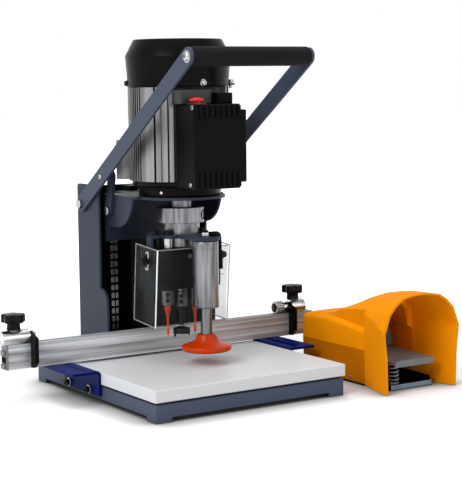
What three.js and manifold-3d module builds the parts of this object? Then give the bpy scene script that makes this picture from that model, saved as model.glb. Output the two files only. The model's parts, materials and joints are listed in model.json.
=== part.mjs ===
// Bench hinge boring machine with its foot pedal, in millimetres, +Z up.
// The spindle axis is X = 0, Y = 0 while the pieces are made, and the floor is Z = 0.
// +X runs along the fence to the right, and -Y points to the operator.
import * as THREE from "three";
import { mergeVertices } from "three/addons/utils/BufferGeometryUtils.js";
import Module from "manifold-3d";

const wasm = await Module();
wasm.setup();

// Shared clearances and facet counts
const seatGap = 0.3;
const runningGap = 0.4;
const cutOverrun = 1;
const roundFacets = 32;
const fineFacets = 56;
const smallFacets = 16;
const bendSteps = 6;

// Base frame: a folded steel pan with a raised deck and four corner feet
const frameHalfWidth = 160;
const frameFront = -195;
const frameBack = 172;
const frameHeight = 26;
const frameWall = 3;
const footLift = 6.5;
const footLength = 26;
const deckInset = 7;
const deckThick = 3;

// Laminated table board
const boardOverhang = 2;
const boardFront = -197;
const boardBack = 52;
const boardThick = 17.7;

// Column: a folded channel, open to the front, with a wider rounded foot
const columnHalfWidth = 97;
const columnWall = 4;
const columnFront = 79;
const columnBack = 147.7;
const columnTop = 308;
const columnFootFront = 57;
const columnFootTop = 151;
const columnShoulder = 22;
const columnCorner = 5;

// Guide rail and hanging chain inside the column
const railHalfWidth = 20;
const railDepth = 25.4;
const railTopDrop = 6;
const chainCentre = -50;
const chainWidth = 12;
const chainDepth = 25.4;
const chainLinkDepth = 6;
const chainPitch = 12.4;
const chainLinkLength = 9;
const chainWideLink = 5.6;
const chainGap = 2;
const chainCount = 19;
const chainStart = 40;

// Brackets that carry the fence
const bracketReach = 45.7;
const bracketThick = 4;
const bracketDrop = 37;
const bracketFront = -42;
const bracketLength = 108;
const bracketRightShift = -15;
const bracketBend = 6;
const bracketSlotWidth = 8;
const bracketSlotInset = 14;
const bracketSlotOffset = 19;
const screwHeadRadius = 4.8;
const screwHeadLength = 5;
const screwWasherRadius = 6.2;
const screwWasherThick = 1.4;
const screwShankRadius = 3;
const screwFrontInset = 30;
const screwRearInset = 94;
const screwHeight = 18.8;
const screwNutLength = 3;

// Fence extrusion and its end caps
const fenceHalfLength = 270;
const fenceFront = 37.6;
const fenceDepth = 18;
const fenceHeight = 36.5;
const fenceGrooveLow = 9.5;
const fenceGrooveHigh = 20;
const fenceGrooveDepth = 5.5;
const fenceLineLow = 31.5;
const fenceLineWidth = 1.6;
const fenceLineDepth = 1.2;
const fenceTopGroove = 7;
const fenceTopGrooveDepth = 5;
const fenceChamber = 3;
const capThick = 3;

// Length stops on the fence
const stopBodyRadius = 12;
const stopBodyDrop = 3.4;
const stopLeftOverhang = 8;
const stopLeftLength = 43;
const stopRightInset = 12;
const stopRightLength = 26;
const stopAxleRadius = 4;
const stopHubLength = 6;
const stopHubRadius = 8.2;
const stopLeftTail = 3.5;
const stopRightTail = 22;
const stopTailRadius = 8.5;
const stopFingerReach = 15;
const stopFingerFoot = 4;
const stopFingerTaper = 9;
const stopKnobRadius = 18;
const stopKnobHeight = 14;
const stopNeckRadius = 10;
const stopNeckHeight = 11;
const stopWasherRadius = 8;
const stopKnobLobes = 5;
const stopKnobHollowShare = 0.14;
const stopKnobLeftInset = 21;
const stopKnobRightInset = 18;
const stopStudRadius = 3;
const stopStudDepth = 6;

// Carriage: back plate, two rounded cheeks, a round motor flange and a slide block
const carriageHalfWidth = 79;
const carriageWall = 4;
const carriageBack = 94;
const carriageTop = 294;
const carriageBottom = 221;
const cheekFront = 6;
const cheekBottom = 245;
const flangeRadius = 68.5;
const flangeBore = 12;
const slideHalfWidth = 42;
const slideReach = 40;
const slideHeight = 64;

// Motor
const bellLowRadius = 57;
const bellHighRadius = 72;
const bellLowHeight = 12;
const bellHeight = 23;
const motorFinRadius = 75.5;
const motorRootRadius = 70;
const motorHeight = 138;
const motorBore = 50;
const motorLidThick = 10;
const finCount = 36;
const finFillShare = 0.5;
const padReach = 94;
const padWidth = 34;
const padHeight = 60;
const coverBottomRadius = 75.5;
const coverTopRadius = 79;
const coverLidRadius = 66;
const coverHeight = 70;
const coverBevel = 25;
const coverWall = 2.5;
const coverSlotCount = 12;
const coverSlotInner = 16;
const coverSlotOuter = 54;
const coverSlotWidth = 6;
const shaftRadius = 8;
const rotorRadius = 44;
const rotorLow = 18;
const rotorHigh = 112;
const shaftTopRise = 33;
const fanRadius = 60;
const fanHubRadius = 15;
const fanLift = 14;
const fanHeight = 16;
const fanPlate = 3;
const fanBladeThick = 2.4;
const fanBlades = 7;

// Terminal box on the front of the motor
const boxHalfWidth = 44.5;
const boxFront = -118;
const boxBack = -66;
const boxBottom = 309;
const boxHeight = 122;
const boxCorner = 5;
const bossLeft = 5;
const bossWidth = 26;
const bossFront = -102;
const bossDepth = 24;
const bossHeight = 16;
const seatLeft = -50;
const seatRight = 3;
const seatFront = -90;
const seatHeight = 20;
const buttonX = -32;
const buttonY = -104;
const buttonRadius = 10.5;
const buttonCap = 5;
const buttonStem = 6;
const buttonStemLength = 7;
const buttonTravelGap = 4;

// Spindle barrel and gear head
const barrelRadius = 29;
const barrelCollarRadius = 36;
const barrelNeckRadius = 17.5;
const barrelCollarHeight = 23;
const barrelNeckHeight = 13.5;
const headTop = 217;
const headHeight = 62;
const headHalfWidth = 60;
const headHalfDepth = 27;
const headCorner = 14;
const headFloor = 17;
const headCavityHeight = 24;
const headJournalRise = 10;
const spindlePitch = 24;
const spindleRadius = 7;
const gearTeeth = 16;
const gearTip = 13.3;
const gearRoot = 10.3;
const gearToothTip = 0.6;
const gearToothRoot = 1.3;
const gearLift = 6;
const gearWidth = 12;
const gearRoom = 1.5;
const chuckRadius = 10;
const sideChuckLength = 26.7;
const centreChuckLength = 30.5;
const chuckBore = 5;
const chuckBoreDepth = 18;
const chuckChamfer = 1.5;
const toolTip = 80.5;
const drillShankBelow = 8;
const drillTaper = 6;
const drillRadius = 3.2;
const drillPoint = 4;
const cutterRadius = 13;
const cutterHeight = 8;
const cutterNeckRadius = 4;
const cutterPoint = 2.5;
const cutterRim = 1.5;

// Clear guard and its thumb knobs
const guardStandoff = 2;
const guardWall = 3;
const guardFront = -40;
const guardBack = 26;
const guardBottom = 102;
const guardTop = 220;
const guardBend = 5;
const guardLean = THREE.MathUtils.degToRad(5);
const guardSlotHalfWidth = 2.5;
const guardSlotHalfLength = 13;
const knobY = -10;
const knobZ = 199;
const knobRadius = 7;
const knobLength = 9;
const knobStudRadius = 1.9;
const knobStudReach = 6;
const knobBossRadius = 7;

// Pneumatic hold-down
const clampY = -71;
const clampPlateTop = 236.5;
const clampPlateThick = 5;
const clampTongueHalfWidth = 22;
const clampPlateLeft = -40;
const clampLegLeft = -58;
const clampLegFront = -12;
const clampLegCorner = 5;
const clampPlateRight = 40;
const clampPlateBack = 38;
const clampPlateFront = -30;
const clampTabWidth = 4;
const clampTabDepth = 14;
const clampPlateCorner = 8;
const cylinderRadius = 19.3;
const cylinderBottom = 131;
const cylinderStubRadius = 5.5;
const cylinderStubRise = 6;
const cylinderCavityRadius = 14;
const cylinderGlandLength = 10;
const cylinderHeadLength = 12;
const rodRadius = 8.5;
const rodBottom = 92;
const rodTop = 178;
const pistonLength = 12;
const rodStudRadius = 5;
const rodStudLength = 8;
const padRadius = 37;
const padRimHeight = 7;
const padDiscHeight = 11;
const padBottom = 67;
const padHubRadius = 16;
const padBevel = 3;
const elbowLeft = 9;
const elbowRight = 27;
const elbowThick = 4;
const elbowHalfDepth = 4;
const elbowDrop = 50;

// Lever: two flat arms, a cross tube and a foam grip
const pivotY = 128;
const pivotZ = 277;
const leverLength = 390;
const leverAngle = THREE.MathUtils.degToRad(34.4);
const armHalfWidth = 12.5;
const armThick = 4;
const armInner = 98;
const tubeRadius = 8;
const gripRadius = 13.6;
const gripEndGap = 2;
const gripEndRound = 4;
const pivotBoltRadius = 5;
const pivotHeadRadius = 7;
const pivotHeadLength = 4.5;
const pivotTail = 3;

// Links between the arms and the carriage
const linkPinReach = 80;
const linkLowY = 72;
const linkLowZ = 269;
const linkHalfWidth = 8.5;
const linkThick = 5;
const linkBoltRadius = 4;
const linkHeadRadius = 6.5;
const linkHeadLength = 4;
const linkHoleRadius = 4.5;
const linkPinRadius = 2.8;

// Foot pedal, standing on the floor to the right
const pedalOffset = 65.5;
const hoodFront = -237;
const hoodBack = 0;
const hoodCreaseY = -161;
const hoodFrontHalfWidth = 68;
const hoodRearHalfWidth = 48;
const hoodWall = 3;
const hoodFrontHeight = 144;
const hoodCrownHeight = 147;
const hoodCrownY = -205;
const hoodCreaseHeight = 134;
const hoodNeckY = -107;
const hoodNeckHeight = 114;
const hoodBackHeight = 92;
const hoodFrontShoulder = 54;
const hoodCrownShoulder = 50;
const hoodCreaseShoulder = 34;
const hoodRearShoulder = 24;
const hoodArcSteps = 7;
const pedalBaseFront = -214;
const pedalBaseFrontHalfWidth = 40;
const pedalBaseThick = 3;
const pedalBaseWall = 3;
const pedalBaseWallHeight = 14;
const pedalLipHeight = 8;
const pedalEarInner = 33;
const pedalEarThick = 3;
const pedalEarHalfDepth = 8;
const pedalEarRise = 8;
const pedalPinY = -112;
const pedalPinZ = 44;
const pedalPinRadius = 3;
const treadleHalfWidth = 37;
const treadleThick = 3;
const treadleFront = -222;
const treadleFrontZ = 44;
const treadleBack = -124;
const treadleBackZ = 47;
const treadleLip = 8;
const treadleEyeRadius = 6;
const treadleTongueHalfWidth = 30;
const pedalSpringX = -15;
const pedalSpringY = -190;
const pedalSpringRadius = 7.6;
const pedalSpringWire = 1.9;
const pedalSpringTurns = 5;
const pedalSpringLow = 4.4;
const pedalSpringTop = 40.6;
const springStepsPerTurn = 8;
const springSides = 5;
const valveHalfWidth = 18;
const valveFront = -96;
const valveBack = -30;
const valveHeight = 34;

// Heights and places worked out from the sizes above
const deckTop = frameHeight + deckThick;
const boardHalfWidth = frameHalfWidth + boardOverhang;
const boardBottom = deckTop + seatGap;
const boardTop = boardBottom + boardThick;
const columnBottom = deckTop + seatGap;
const webFront = columnBack - columnWall;
const railBack = webFront - seatGap;
const railFront = railBack - railDepth;
const bracketInner = boardHalfWidth + seatGap;
const bracketOuter = bracketInner + bracketReach;
const pedalX = bracketOuter + pedalOffset;
const bracketTop = boardTop + bracketThick - cutOverrun;
const fenceBottom = bracketTop + seatGap;
const fenceTop = fenceBottom + fenceHeight;
const fenceBack = fenceFront + fenceDepth;
const fenceMiddle = (fenceFront + fenceBack) / 2;
const stopAxisZ = fenceTop + stopBodyRadius - stopBodyDrop;
const stopLeftOuter = -fenceHalfLength - stopLeftOverhang;
const stopLeftInner = stopLeftOuter + stopLeftLength;
const stopRightOuter = fenceHalfLength - stopRightInset;
const stopRightInner = stopRightOuter - stopRightLength;
const stopKnobLeft = stopLeftOuter + stopKnobLeftInset;
const stopKnobRight = stopRightOuter - stopKnobRightInset;
const flangeBottom = carriageTop - carriageWall;
const plateFront = carriageBack - carriageWall;
const bellBottom = carriageTop + seatGap;
const motorBottom = bellBottom + bellHeight + seatGap;
const motorTop = motorBottom + motorHeight;
const coverBottom = motorTop + seatGap;
const coverTop = coverBottom + coverHeight;
const boxTop = boxBottom + boxHeight;
const barrelTop = flangeBottom - seatGap;
const barrelBottom = headTop + seatGap;
const headBottom = headTop - headHeight;
const cavityBottom = headBottom + headFloor;
const cavityTop = cavityBottom + headCavityHeight;
const gearBottom = cavityBottom + gearLift;
const guardHalfWidth = headHalfWidth + guardStandoff + guardWall;
const chuckTop = headBottom - seatGap;
const clampPlateBottom = clampPlateTop - clampPlateThick;
const cylinderTop = clampPlateBottom - seatGap;
const armOuter = armInner + armThick;
const leverDirY = -Math.cos(leverAngle);
const leverDirZ = Math.sin(leverAngle);
const gripY = pivotY + leverLength * leverDirY;
const gripZ = pivotZ + leverLength * leverDirZ;
const linkHighY = pivotY + linkPinReach * leverDirY;
const linkHighZ = pivotZ + linkPinReach * leverDirZ;
const linkInner = carriageHalfWidth + seatGap + seatGap;

// Colours, roughness and metalness, as seen in the photograph
function finish(color, roughness, metalness) {
  return new THREE.MeshStandardMaterial({ color, roughness, metalness });
}
const steelBlue = finish(0x4a5465, 0.5, 0.3);
const carriageBlue = finish(0x1e2430, 0.5, 0.3);
const navy = finish(0x1c2464, 0.35, 0.3);
const laminate = finish(0xe6e6e6, 0.3, 0);
const aluminium = finish(0xb4b6b8, 0.35, 0.9);
const castAluminium = finish(0x9a9c9e, 0.5, 0.8);
const brightSteel = finish(0xc8c8c8, 0.25, 1);
const darkSteel = finish(0x3a3b3d, 0.4, 0.9);
const blackPaint = finish(0x161616, 0.45, 0.2);
const blackPlastic = finish(0x1a1a1a, 0.5, 0);
const foam = finish(0x202020, 0.85, 0);
const redPlastic = finish(0xc81e1e, 0.4, 0);
const padOrange = finish(0xbe3705, 0.45, 0);
const drillOrange = finish(0xd75523, 0.4, 0.1);
const hoodYellow = finish(0xf09a00, 0.4, 0);
const clearSheet = finish(0xd0d8dc, 0.1, 0);

// Turns a closed geometry into a solid that can be joined and cut
function toSolid(geometry) {
  const bare = geometry.index ? geometry.toNonIndexed() : geometry.clone();
  bare.deleteAttribute("normal");
  bare.deleteAttribute("uv");
  const merged = mergeVertices(bare, 1e-4);
  const mesh = new wasm.Mesh({
    numProp: 3,
    vertProperties: new Float32Array(merged.attributes.position.array),
    triVerts: new Uint32Array(merged.index.array),
  });
  return new wasm.Manifold(mesh);
}

// Turns a solid back into a geometry
function toGeometry(solid) {
  const mesh = solid.getMesh();
  const geometry = new THREE.BufferGeometry();
  geometry.setAttribute("position", new THREE.BufferAttribute(new Float32Array(mesh.vertProperties), 3));
  geometry.setIndex(new THREE.BufferAttribute(new Uint32Array(mesh.triVerts), 1));
  geometry.computeVertexNormals();
  return geometry;
}

// A block between two corners
function block(x0, x1, y0, y1, z0, z1) {
  const geometry = new THREE.BoxGeometry(x1 - x0, y1 - y0, z1 - z0);
  geometry.translate((x0 + x1) / 2, (y0 + y1) / 2, (z0 + z1) / 2);
  return toSolid(geometry);
}

const axisX = new THREE.Vector3(1, 0, 0);
const axisY = new THREE.Vector3(0, 1, 0);
const axisZ = new THREE.Vector3(0, 0, 1);

// A flat outline drawn in X and Y, pulled up from z0 to z1
function pullZ(shape, z0, z1, curveSegments = bendSteps) {
  const geometry = new THREE.ExtrudeGeometry(shape, { depth: z1 - z0, bevelEnabled: false, curveSegments });
  geometry.translate(0, 0, z0);
  return toSolid(geometry);
}

// A flat outline drawn in Y and Z, pulled along X from x0 to x1
function pullX(shape, x0, x1, curveSegments = bendSteps) {
  const geometry = new THREE.ExtrudeGeometry(shape, { depth: x1 - x0, bevelEnabled: false, curveSegments });
  geometry.applyMatrix4(new THREE.Matrix4().makeBasis(axisY, axisZ, axisX));
  geometry.translate(x0, 0, 0);
  return toSolid(geometry);
}

// A flat shape in X and Z, pulled along Y
function pullY(shape, y0, y1, curveSegments = bendSteps) {
  const geometry = new THREE.ExtrudeGeometry(shape, { depth: y1 - y0, bevelEnabled: false, curveSegments });
  geometry.rotateX(Math.PI / 2);
  geometry.translate(0, y1, 0);
  return toSolid(geometry);
}

// A round bar along one axis, from one end to the other, centred on the two other coordinates
function bar(axis, radius, from, to, a, b, facets = roundFacets) {
  const geometry = new THREE.CylinderGeometry(radius, radius, to - from, facets);
  const middle = (from + to) / 2;
  if (axis === "x") {
    geometry.rotateZ(-Math.PI / 2);
    geometry.translate(middle, a, b);
  } else if (axis === "y") {
    geometry.translate(a, middle, b);
  } else {
    geometry.rotateX(Math.PI / 2);
    geometry.translate(a, b, middle);
  }
  return toSolid(geometry);
}

// A turned piece about a vertical axis, from a closed profile of radius and height
function turned(profile, x, y, facets = roundFacets) {
  const points = profile.map(([radius, height]) => new THREE.Vector2(radius, height));
  const geometry = new THREE.LatheGeometry(points, facets);
  geometry.rotateX(Math.PI / 2);
  geometry.translate(x, y, 0);
  return toSolid(geometry);
}

// A rectangle with round corners, in the outline's own two coordinates
function roundedRectangle(a0, a1, b0, b1, radius) {
  const shape = new THREE.Shape();
  shape.moveTo(a0 + radius, b0);
  shape.lineTo(a1 - radius, b0);
  shape.absarc(a1 - radius, b0 + radius, radius, -Math.PI / 2, 0, false);
  shape.lineTo(a1, b1 - radius);
  shape.absarc(a1 - radius, b1 - radius, radius, 0, Math.PI / 2, false);
  shape.lineTo(a0 + radius, b1);
  shape.absarc(a0 + radius, b1 - radius, radius, Math.PI / 2, Math.PI, false);
  shape.lineTo(a0, b0 + radius);
  shape.absarc(a0 + radius, b0 + radius, radius, Math.PI, 1.5 * Math.PI, false);
  return shape;
}

// A flat bar outline with round ends between two points
function roundEndedBar(a0, b0, a1, b1, halfWidth) {
  const angle = Math.atan2(b1 - b0, a1 - a0);
  const shape = new THREE.Shape();
  shape.absarc(a1, b1, halfWidth, angle - Math.PI / 2, angle + Math.PI / 2, false);
  shape.absarc(a0, b0, halfWidth, angle + Math.PI / 2, angle + 1.5 * Math.PI, false);
  return shape;
}

function outline(points) {
  return new THREE.Shape(points.map(([a, b]) => new THREE.Vector2(a, b)));
}

function mirrored(solid, side) {
  return side < 0 ? solid : solid.mirror([1, 0, 0]);
}

const machine = new THREE.Group();

function add(name, solid, material) {
  const mesh = new THREE.Mesh(toGeometry(solid), material);
  mesh.name = name;
  machine.add(mesh);
}

// Base frame
function makeBaseFrame() {
  const inner = frameHalfWidth - frameWall;
  let pan = block(-frameHalfWidth, frameHalfWidth, frameFront, frameBack, 0, frameHeight);
  const roof = frameHeight - frameWall;
  pan = pan.subtract(block(-inner, inner, frameFront + frameWall, frameBack - frameWall, -cutOverrun, roof));
  const cutHalf = frameHalfWidth - footLength;
  const past = frameHalfWidth + cutOverrun;
  pan = pan.subtract(block(-cutHalf, cutHalf, frameFront - cutOverrun, frameBack + cutOverrun, -cutOverrun, footLift));
  const low = frameFront + footLength;
  const high = frameBack - footLength;
  pan = pan.subtract(block(-past, past, low, high, -cutOverrun, footLift));
  const deckHalf = frameHalfWidth - deckInset;
  return pan.add(block(-deckHalf, deckHalf, frameFront + deckInset, frameBack - deckInset, frameHeight - frameWall, deckTop));
}
add("base_frame", makeBaseFrame(), steelBlue);

// Table board
add("table_board", block(-boardHalfWidth, boardHalfWidth, boardFront, boardBack, boardBottom, boardTop), laminate);

// Column
function makeColumn() {
  const side = new THREE.Shape();
  side.moveTo(columnBack, columnBottom);
  side.lineTo(columnBack, columnTop - columnCorner);
  side.absarc(columnBack - columnCorner, columnTop - columnCorner, columnCorner, 0, Math.PI / 2, false);
  side.lineTo(columnFront, columnTop);
  side.lineTo(columnFront, columnFootTop);
  const shoulderY = columnFootFront + columnShoulder;
  side.absarc(shoulderY, columnFootTop - columnShoulder, columnShoulder, Math.PI / 2, Math.PI, false);
  side.lineTo(columnFootFront, columnBottom);
  const left = pullX(side, -columnHalfWidth, columnWall - columnHalfWidth, bendSteps);
  const right = pullX(side, columnHalfWidth - columnWall, columnHalfWidth, bendSteps);
  const web = block(-columnHalfWidth + columnWall / 2, columnHalfWidth - columnWall / 2, webFront, columnBack,
    columnBottom, columnTop - columnCorner);
  const hole = pivotBoltRadius + runningGap;
  const past = columnHalfWidth + cutOverrun;
  return left.add(right).add(web).subtract(bar("x", hole, -past, past, pivotY, pivotZ, smallFacets));
}
add("column", makeColumn(), steelBlue);

// Guide rail on the column's back wall
add("guide_rail", block(-railHalfWidth, railHalfWidth, railFront, railBack, columnBottom, columnTop - railTopDrop), darkSteel);

// Chain strip beside the rail: a backing bar with two columns of links
function makeGuideChain() {
  const left = chainCentre - chainWidth / 2;
  const right = chainCentre + chainWidth / 2;
  const front = railBack - chainDepth;
  const linkBack = front + chainLinkDepth;
  const top = chainStart + chainPitch * chainCount;
  let strip = block(left, right, linkBack, railBack, chainStart, top);
  for (let i = 0; i < chainCount; i += 1) {
    const low = chainStart + chainPitch * i;
    const high = low + chainLinkLength;
    const wideEnd = left + chainWideLink;
    strip = strip.add(block(left, wideEnd, front, linkBack + seatGap, low, high));
    strip = strip.add(block(wideEnd + chainGap, right, front, linkBack + seatGap, low, high));
  }
  return strip;
}
add("guide_chain", makeGuideChain(), brightSteel);

// Brackets, one folded plate at each side of the board
function makeBracket(side) {
  const shift = side < 0 ? 0 : bracketRightShift;
  const front = bracketFront + shift;
  const back = front + bracketLength;
  const section = new THREE.Shape();
  const bottom = bracketTop - bracketDrop;
  section.moveTo(-bracketInner, bottom);
  section.lineTo(-bracketInner, bracketTop - bracketBend);
  section.absarc(-bracketInner - bracketBend, bracketTop - bracketBend, bracketBend, 0, Math.PI / 2, false);
  section.lineTo(-bracketOuter, bracketTop);
  section.lineTo(-bracketOuter, bracketTop - bracketThick);
  const innerBend = bracketBend - bracketThick;
  section.lineTo(-bracketInner - bracketBend, bracketTop - bracketThick);
  section.absarc(-bracketInner - bracketBend, bracketTop - bracketBend, innerBend, Math.PI / 2, 0, true);
  section.lineTo(-bracketInner - bracketThick, bottom);
  let plate = pullY(section, front, back);
  const slotX = -bracketInner - bracketSlotOffset;
  const slotRadius = bracketSlotWidth / 2;
  const slot = roundEndedBar(slotX, front + bracketSlotInset, slotX, back - bracketSlotInset, slotRadius);
  plate = plate.subtract(pullZ(slot, bracketTop - bracketThick - cutOverrun, bracketTop + cutOverrun));
  const holeRadius = screwShankRadius + seatGap;
  for (const inset of [screwFrontInset, screwRearInset]) {
    const holeEnd = -bracketInner - bracketThick - cutOverrun;
    plate = plate.subtract(bar("x", holeRadius, holeEnd, -bracketInner + cutOverrun, front + inset, screwHeight, smallFacets));
  }
  return mirrored(plate, side);
}
add("bracket_left", makeBracket(-1), navy);
add("bracket_right", makeBracket(1), navy);

// Bracket screws: head, washer, shank and the clinch nut on the frame wall
function makeBracketScrew(side, inset) {
  const shift = side < 0 ? 0 : bracketRightShift;
  const y = bracketFront + shift + inset;
  const outer = -bracketInner - bracketThick - seatGap;
  const washerEnd = outer - screwWasherThick;
  const headEnd = washerEnd - screwHeadLength;
  let screw = bar("x", screwWasherRadius, washerEnd, outer, y, screwHeight);
  screw = screw.add(bar("x", screwHeadRadius, headEnd, washerEnd + seatGap, y, screwHeight));
  const shankEnd = -frameHalfWidth - seatGap;
  screw = screw.add(bar("x", screwShankRadius, outer - seatGap, shankEnd, y, screwHeight, smallFacets));
  const socket = bar("x", screwShankRadius, headEnd - cutOverrun, headEnd + screwNutLength, y, screwHeight, 6);
  return mirrored(screw.subtract(socket), side);
}
for (const [name, side] of [["left", -1], ["right", 1]]) {
  add(`bracket_screw_${name}_front`, makeBracketScrew(side, screwFrontInset), darkSteel);
  add(`bracket_screw_${name}_rear`, makeBracketScrew(side, screwRearInset), darkSteel);
}

// Fence extrusion
function makeFence() {
  const groove = fenceTopGroove / 2;
  const section = outline([
    [fenceFront, fenceBottom],
    [fenceBack, fenceBottom],
    [fenceBack, fenceTop],
    [fenceMiddle + groove, fenceTop],
    [fenceMiddle + groove, fenceTop - fenceTopGrooveDepth],
    [fenceMiddle - groove, fenceTop - fenceTopGrooveDepth],
    [fenceMiddle - groove, fenceTop],
    [fenceFront, fenceTop],
    [fenceFront, fenceBottom + fenceLineLow + fenceLineWidth],
    [fenceFront + fenceLineDepth, fenceBottom + fenceLineLow + fenceLineWidth],
    [fenceFront + fenceLineDepth, fenceBottom + fenceLineLow],
    [fenceFront, fenceBottom + fenceLineLow],
    [fenceFront, fenceBottom + fenceGrooveHigh],
    [fenceFront + fenceGrooveDepth, fenceBottom + fenceGrooveHigh],
    [fenceFront + fenceGrooveDepth, fenceBottom + fenceGrooveLow],
    [fenceFront, fenceBottom + fenceGrooveLow],
  ]);
  const solid = pullX(section, -fenceHalfLength, fenceHalfLength);
  const past = fenceHalfLength + cutOverrun;
  const chamberLow = fenceBottom + fenceChamber;
  const chamberHigh = fenceBottom + fenceGrooveLow - fenceChamber;
  const chamber = block(-past, past, fenceFront + fenceChamber, fenceBack - fenceChamber, chamberLow, chamberHigh);
  return solid.subtract(chamber);
}
add("fence_profile", makeFence(), aluminium);

function makeFenceCap(side) {
  const outer = -fenceHalfLength - seatGap - capThick;
  return mirrored(block(outer, -fenceHalfLength - seatGap, fenceFront, fenceBack, fenceBottom, fenceTop), side);
}
add("fence_cap_left", makeFenceCap(-1), darkSteel);
add("fence_cap_right", makeFenceCap(1), darkSteel);

// Stop bodies: a bar saddled on the fence, an axle through the finger's hub and a tail nut
function makeStopBody(side) {
  const outer = side < 0 ? stopLeftOuter : stopRightOuter;
  const inner = side < 0 ? stopLeftInner : stopRightInner;
  const tail = side < 0 ? stopLeftTail : stopRightTail;
  const inward = -side;
  const hubStart = inner + inward * seatGap;
  const hubEnd = hubStart + inward * stopHubLength;
  const tailStart = hubEnd + inward * seatGap;
  const tailEnd = tailStart + inward * tail;
  const low = (a, b) => Math.min(a, b);
  const high = (a, b) => Math.max(a, b);
  let body = bar("x", stopBodyRadius, low(outer, inner), high(outer, inner), fenceMiddle, stopAxisZ);
  body = body.add(bar("x", stopAxleRadius, low(inner, tailEnd), high(inner, tailEnd), fenceMiddle, stopAxisZ, smallFacets));
  body = body.add(bar("x", stopTailRadius, low(tailStart, tailEnd), high(tailStart, tailEnd), fenceMiddle, stopAxisZ));
  const saddle = block(low(outer, inner) - cutOverrun, high(outer, inner) + cutOverrun, fenceFront - seatGap,
    fenceBack + seatGap, stopAxisZ - stopBodyRadius - cutOverrun, fenceTop + seatGap);
  const knobX = side < 0 ? stopKnobLeft : stopKnobRight;
  const hole = bar("z", stopStudRadius + seatGap, stopAxisZ + stopBodyRadius - stopStudDepth - cutOverrun,
    stopAxisZ + stopBodyRadius + cutOverrun, knobX, fenceMiddle, smallFacets);
  return body.subtract(saddle).subtract(hole);
}

function makeStopKnob(side) {
  const x = side < 0 ? stopKnobLeft : stopKnobRight;
  const bottom = stopAxisZ + stopBodyRadius + seatGap;
  const headBottomZ = bottom + stopNeckHeight;
  const steps = stopKnobLobes * smallFacets / 2;
  const shape = new THREE.Shape();
  for (let i = 0; i < steps; i += 1) {
    const angle = 2 * Math.PI * i / steps;
    const wave = 1 - stopKnobHollowShare * (1 - Math.cos(stopKnobLobes * angle)) / 2;
    const radius = stopKnobRadius * wave;
    const px = x + radius * Math.cos(angle);
    const py = fenceMiddle + radius * Math.sin(angle);
    if (i === 0) shape.moveTo(px, py);
    else shape.lineTo(px, py);
  }
  let knob = pullZ(shape, headBottomZ, headBottomZ + stopKnobHeight);
  knob = knob.add(bar("z", stopNeckRadius, bottom, headBottomZ + cutOverrun, x, fenceMiddle));
  return knob.add(bar("z", stopStudRadius, bottom - stopStudDepth, bottom + cutOverrun, x, fenceMiddle, smallFacets));
}

function makeStopPlate(side) {
  const inner = side < 0 ? stopLeftInner : stopRightInner;
  const start = inner - side * seatGap;
  const end = start - side * stopHubLength;
  const x0 = Math.min(start, end);
  const x1 = Math.max(start, end);
  const fingerBack = fenceFront - seatGap;
  const fingerFront = fingerBack - stopFingerReach;
  const foot = boardTop + stopFingerFoot;
  const finger = outline([
    [fenceMiddle, stopAxisZ + stopHubRadius],
    [fingerFront, stopAxisZ],
    [fingerFront, foot + stopFingerTaper],
    [fingerFront + stopFingerTaper, foot],
    [fingerBack, foot],
    [fingerBack, fenceTop + seatGap],
    [fenceMiddle, fenceTop + seatGap],
  ]);
  const hub = bar("x", stopHubRadius, x0, x1, fenceMiddle, stopAxisZ);
  const hole = bar("x", stopAxleRadius + runningGap, x0 - cutOverrun, x1 + cutOverrun, fenceMiddle, stopAxisZ, smallFacets);
  return pullX(finger, x0, x1).add(hub).subtract(hole);
}
for (const [name, side] of [["left", -1], ["right", 1]]) {
  add(`stop_body_${name}`, makeStopBody(side), brightSteel);
  add(`stop_knob_${name}`, makeStopKnob(side), blackPlastic);
  add(`stop_plate_${name}`, makeStopPlate(side), blackPaint);
}

// Carriage weldment
function makeCarriage() {
  const cheek = new THREE.Shape();
  const cheekRadius = carriageTop - cheekBottom;
  cheek.moveTo(carriageBack, carriageBottom);
  cheek.lineTo(carriageBack, carriageTop);
  cheek.lineTo(cheekFront, carriageTop);
  cheek.absarc(cheekFront + cheekRadius, carriageTop, cheekRadius, Math.PI, 1.5 * Math.PI, false);
  cheek.lineTo(plateFront, cheekBottom);
  cheek.lineTo(plateFront, carriageBottom);
  let body = pullX(cheek, -carriageHalfWidth, carriageWall - carriageHalfWidth);
  body = body.add(pullX(cheek, carriageHalfWidth - carriageWall, carriageHalfWidth));
  body = body.add(block(-carriageHalfWidth + cutOverrun, carriageHalfWidth - cutOverrun, plateFront, carriageBack,
    carriageBottom, carriageTop));
  body = body.add(bar("z", flangeRadius, flangeBottom, carriageTop, 0, 0, fineFacets));
  body = body.add(block(-carriageHalfWidth + cutOverrun, carriageHalfWidth - cutOverrun, 0, carriageBack, flangeBottom, carriageTop));
  const slideBack = carriageBack + slideReach;
  body = body.add(block(-slideHalfWidth, slideHalfWidth, plateFront, slideBack, carriageTop - slideHeight, carriageTop));
  const slot = railHalfWidth + runningGap;
  body = body.subtract(block(-slot, slot, railFront - runningGap, slideBack + cutOverrun,
    carriageBottom - cutOverrun, carriageTop + cutOverrun));
  body = body.subtract(bar("z", flangeBore, flangeBottom - cutOverrun, carriageTop + cutOverrun, 0, 0));
  const past = carriageHalfWidth + cutOverrun;
  const boltHole = bar("x", linkBoltRadius + seatGap, -past, past, linkLowY, linkLowZ, smallFacets);
  return body.subtract(boltHole);
}
add("carriage_bracket", makeCarriage(), carriageBlue);

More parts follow.
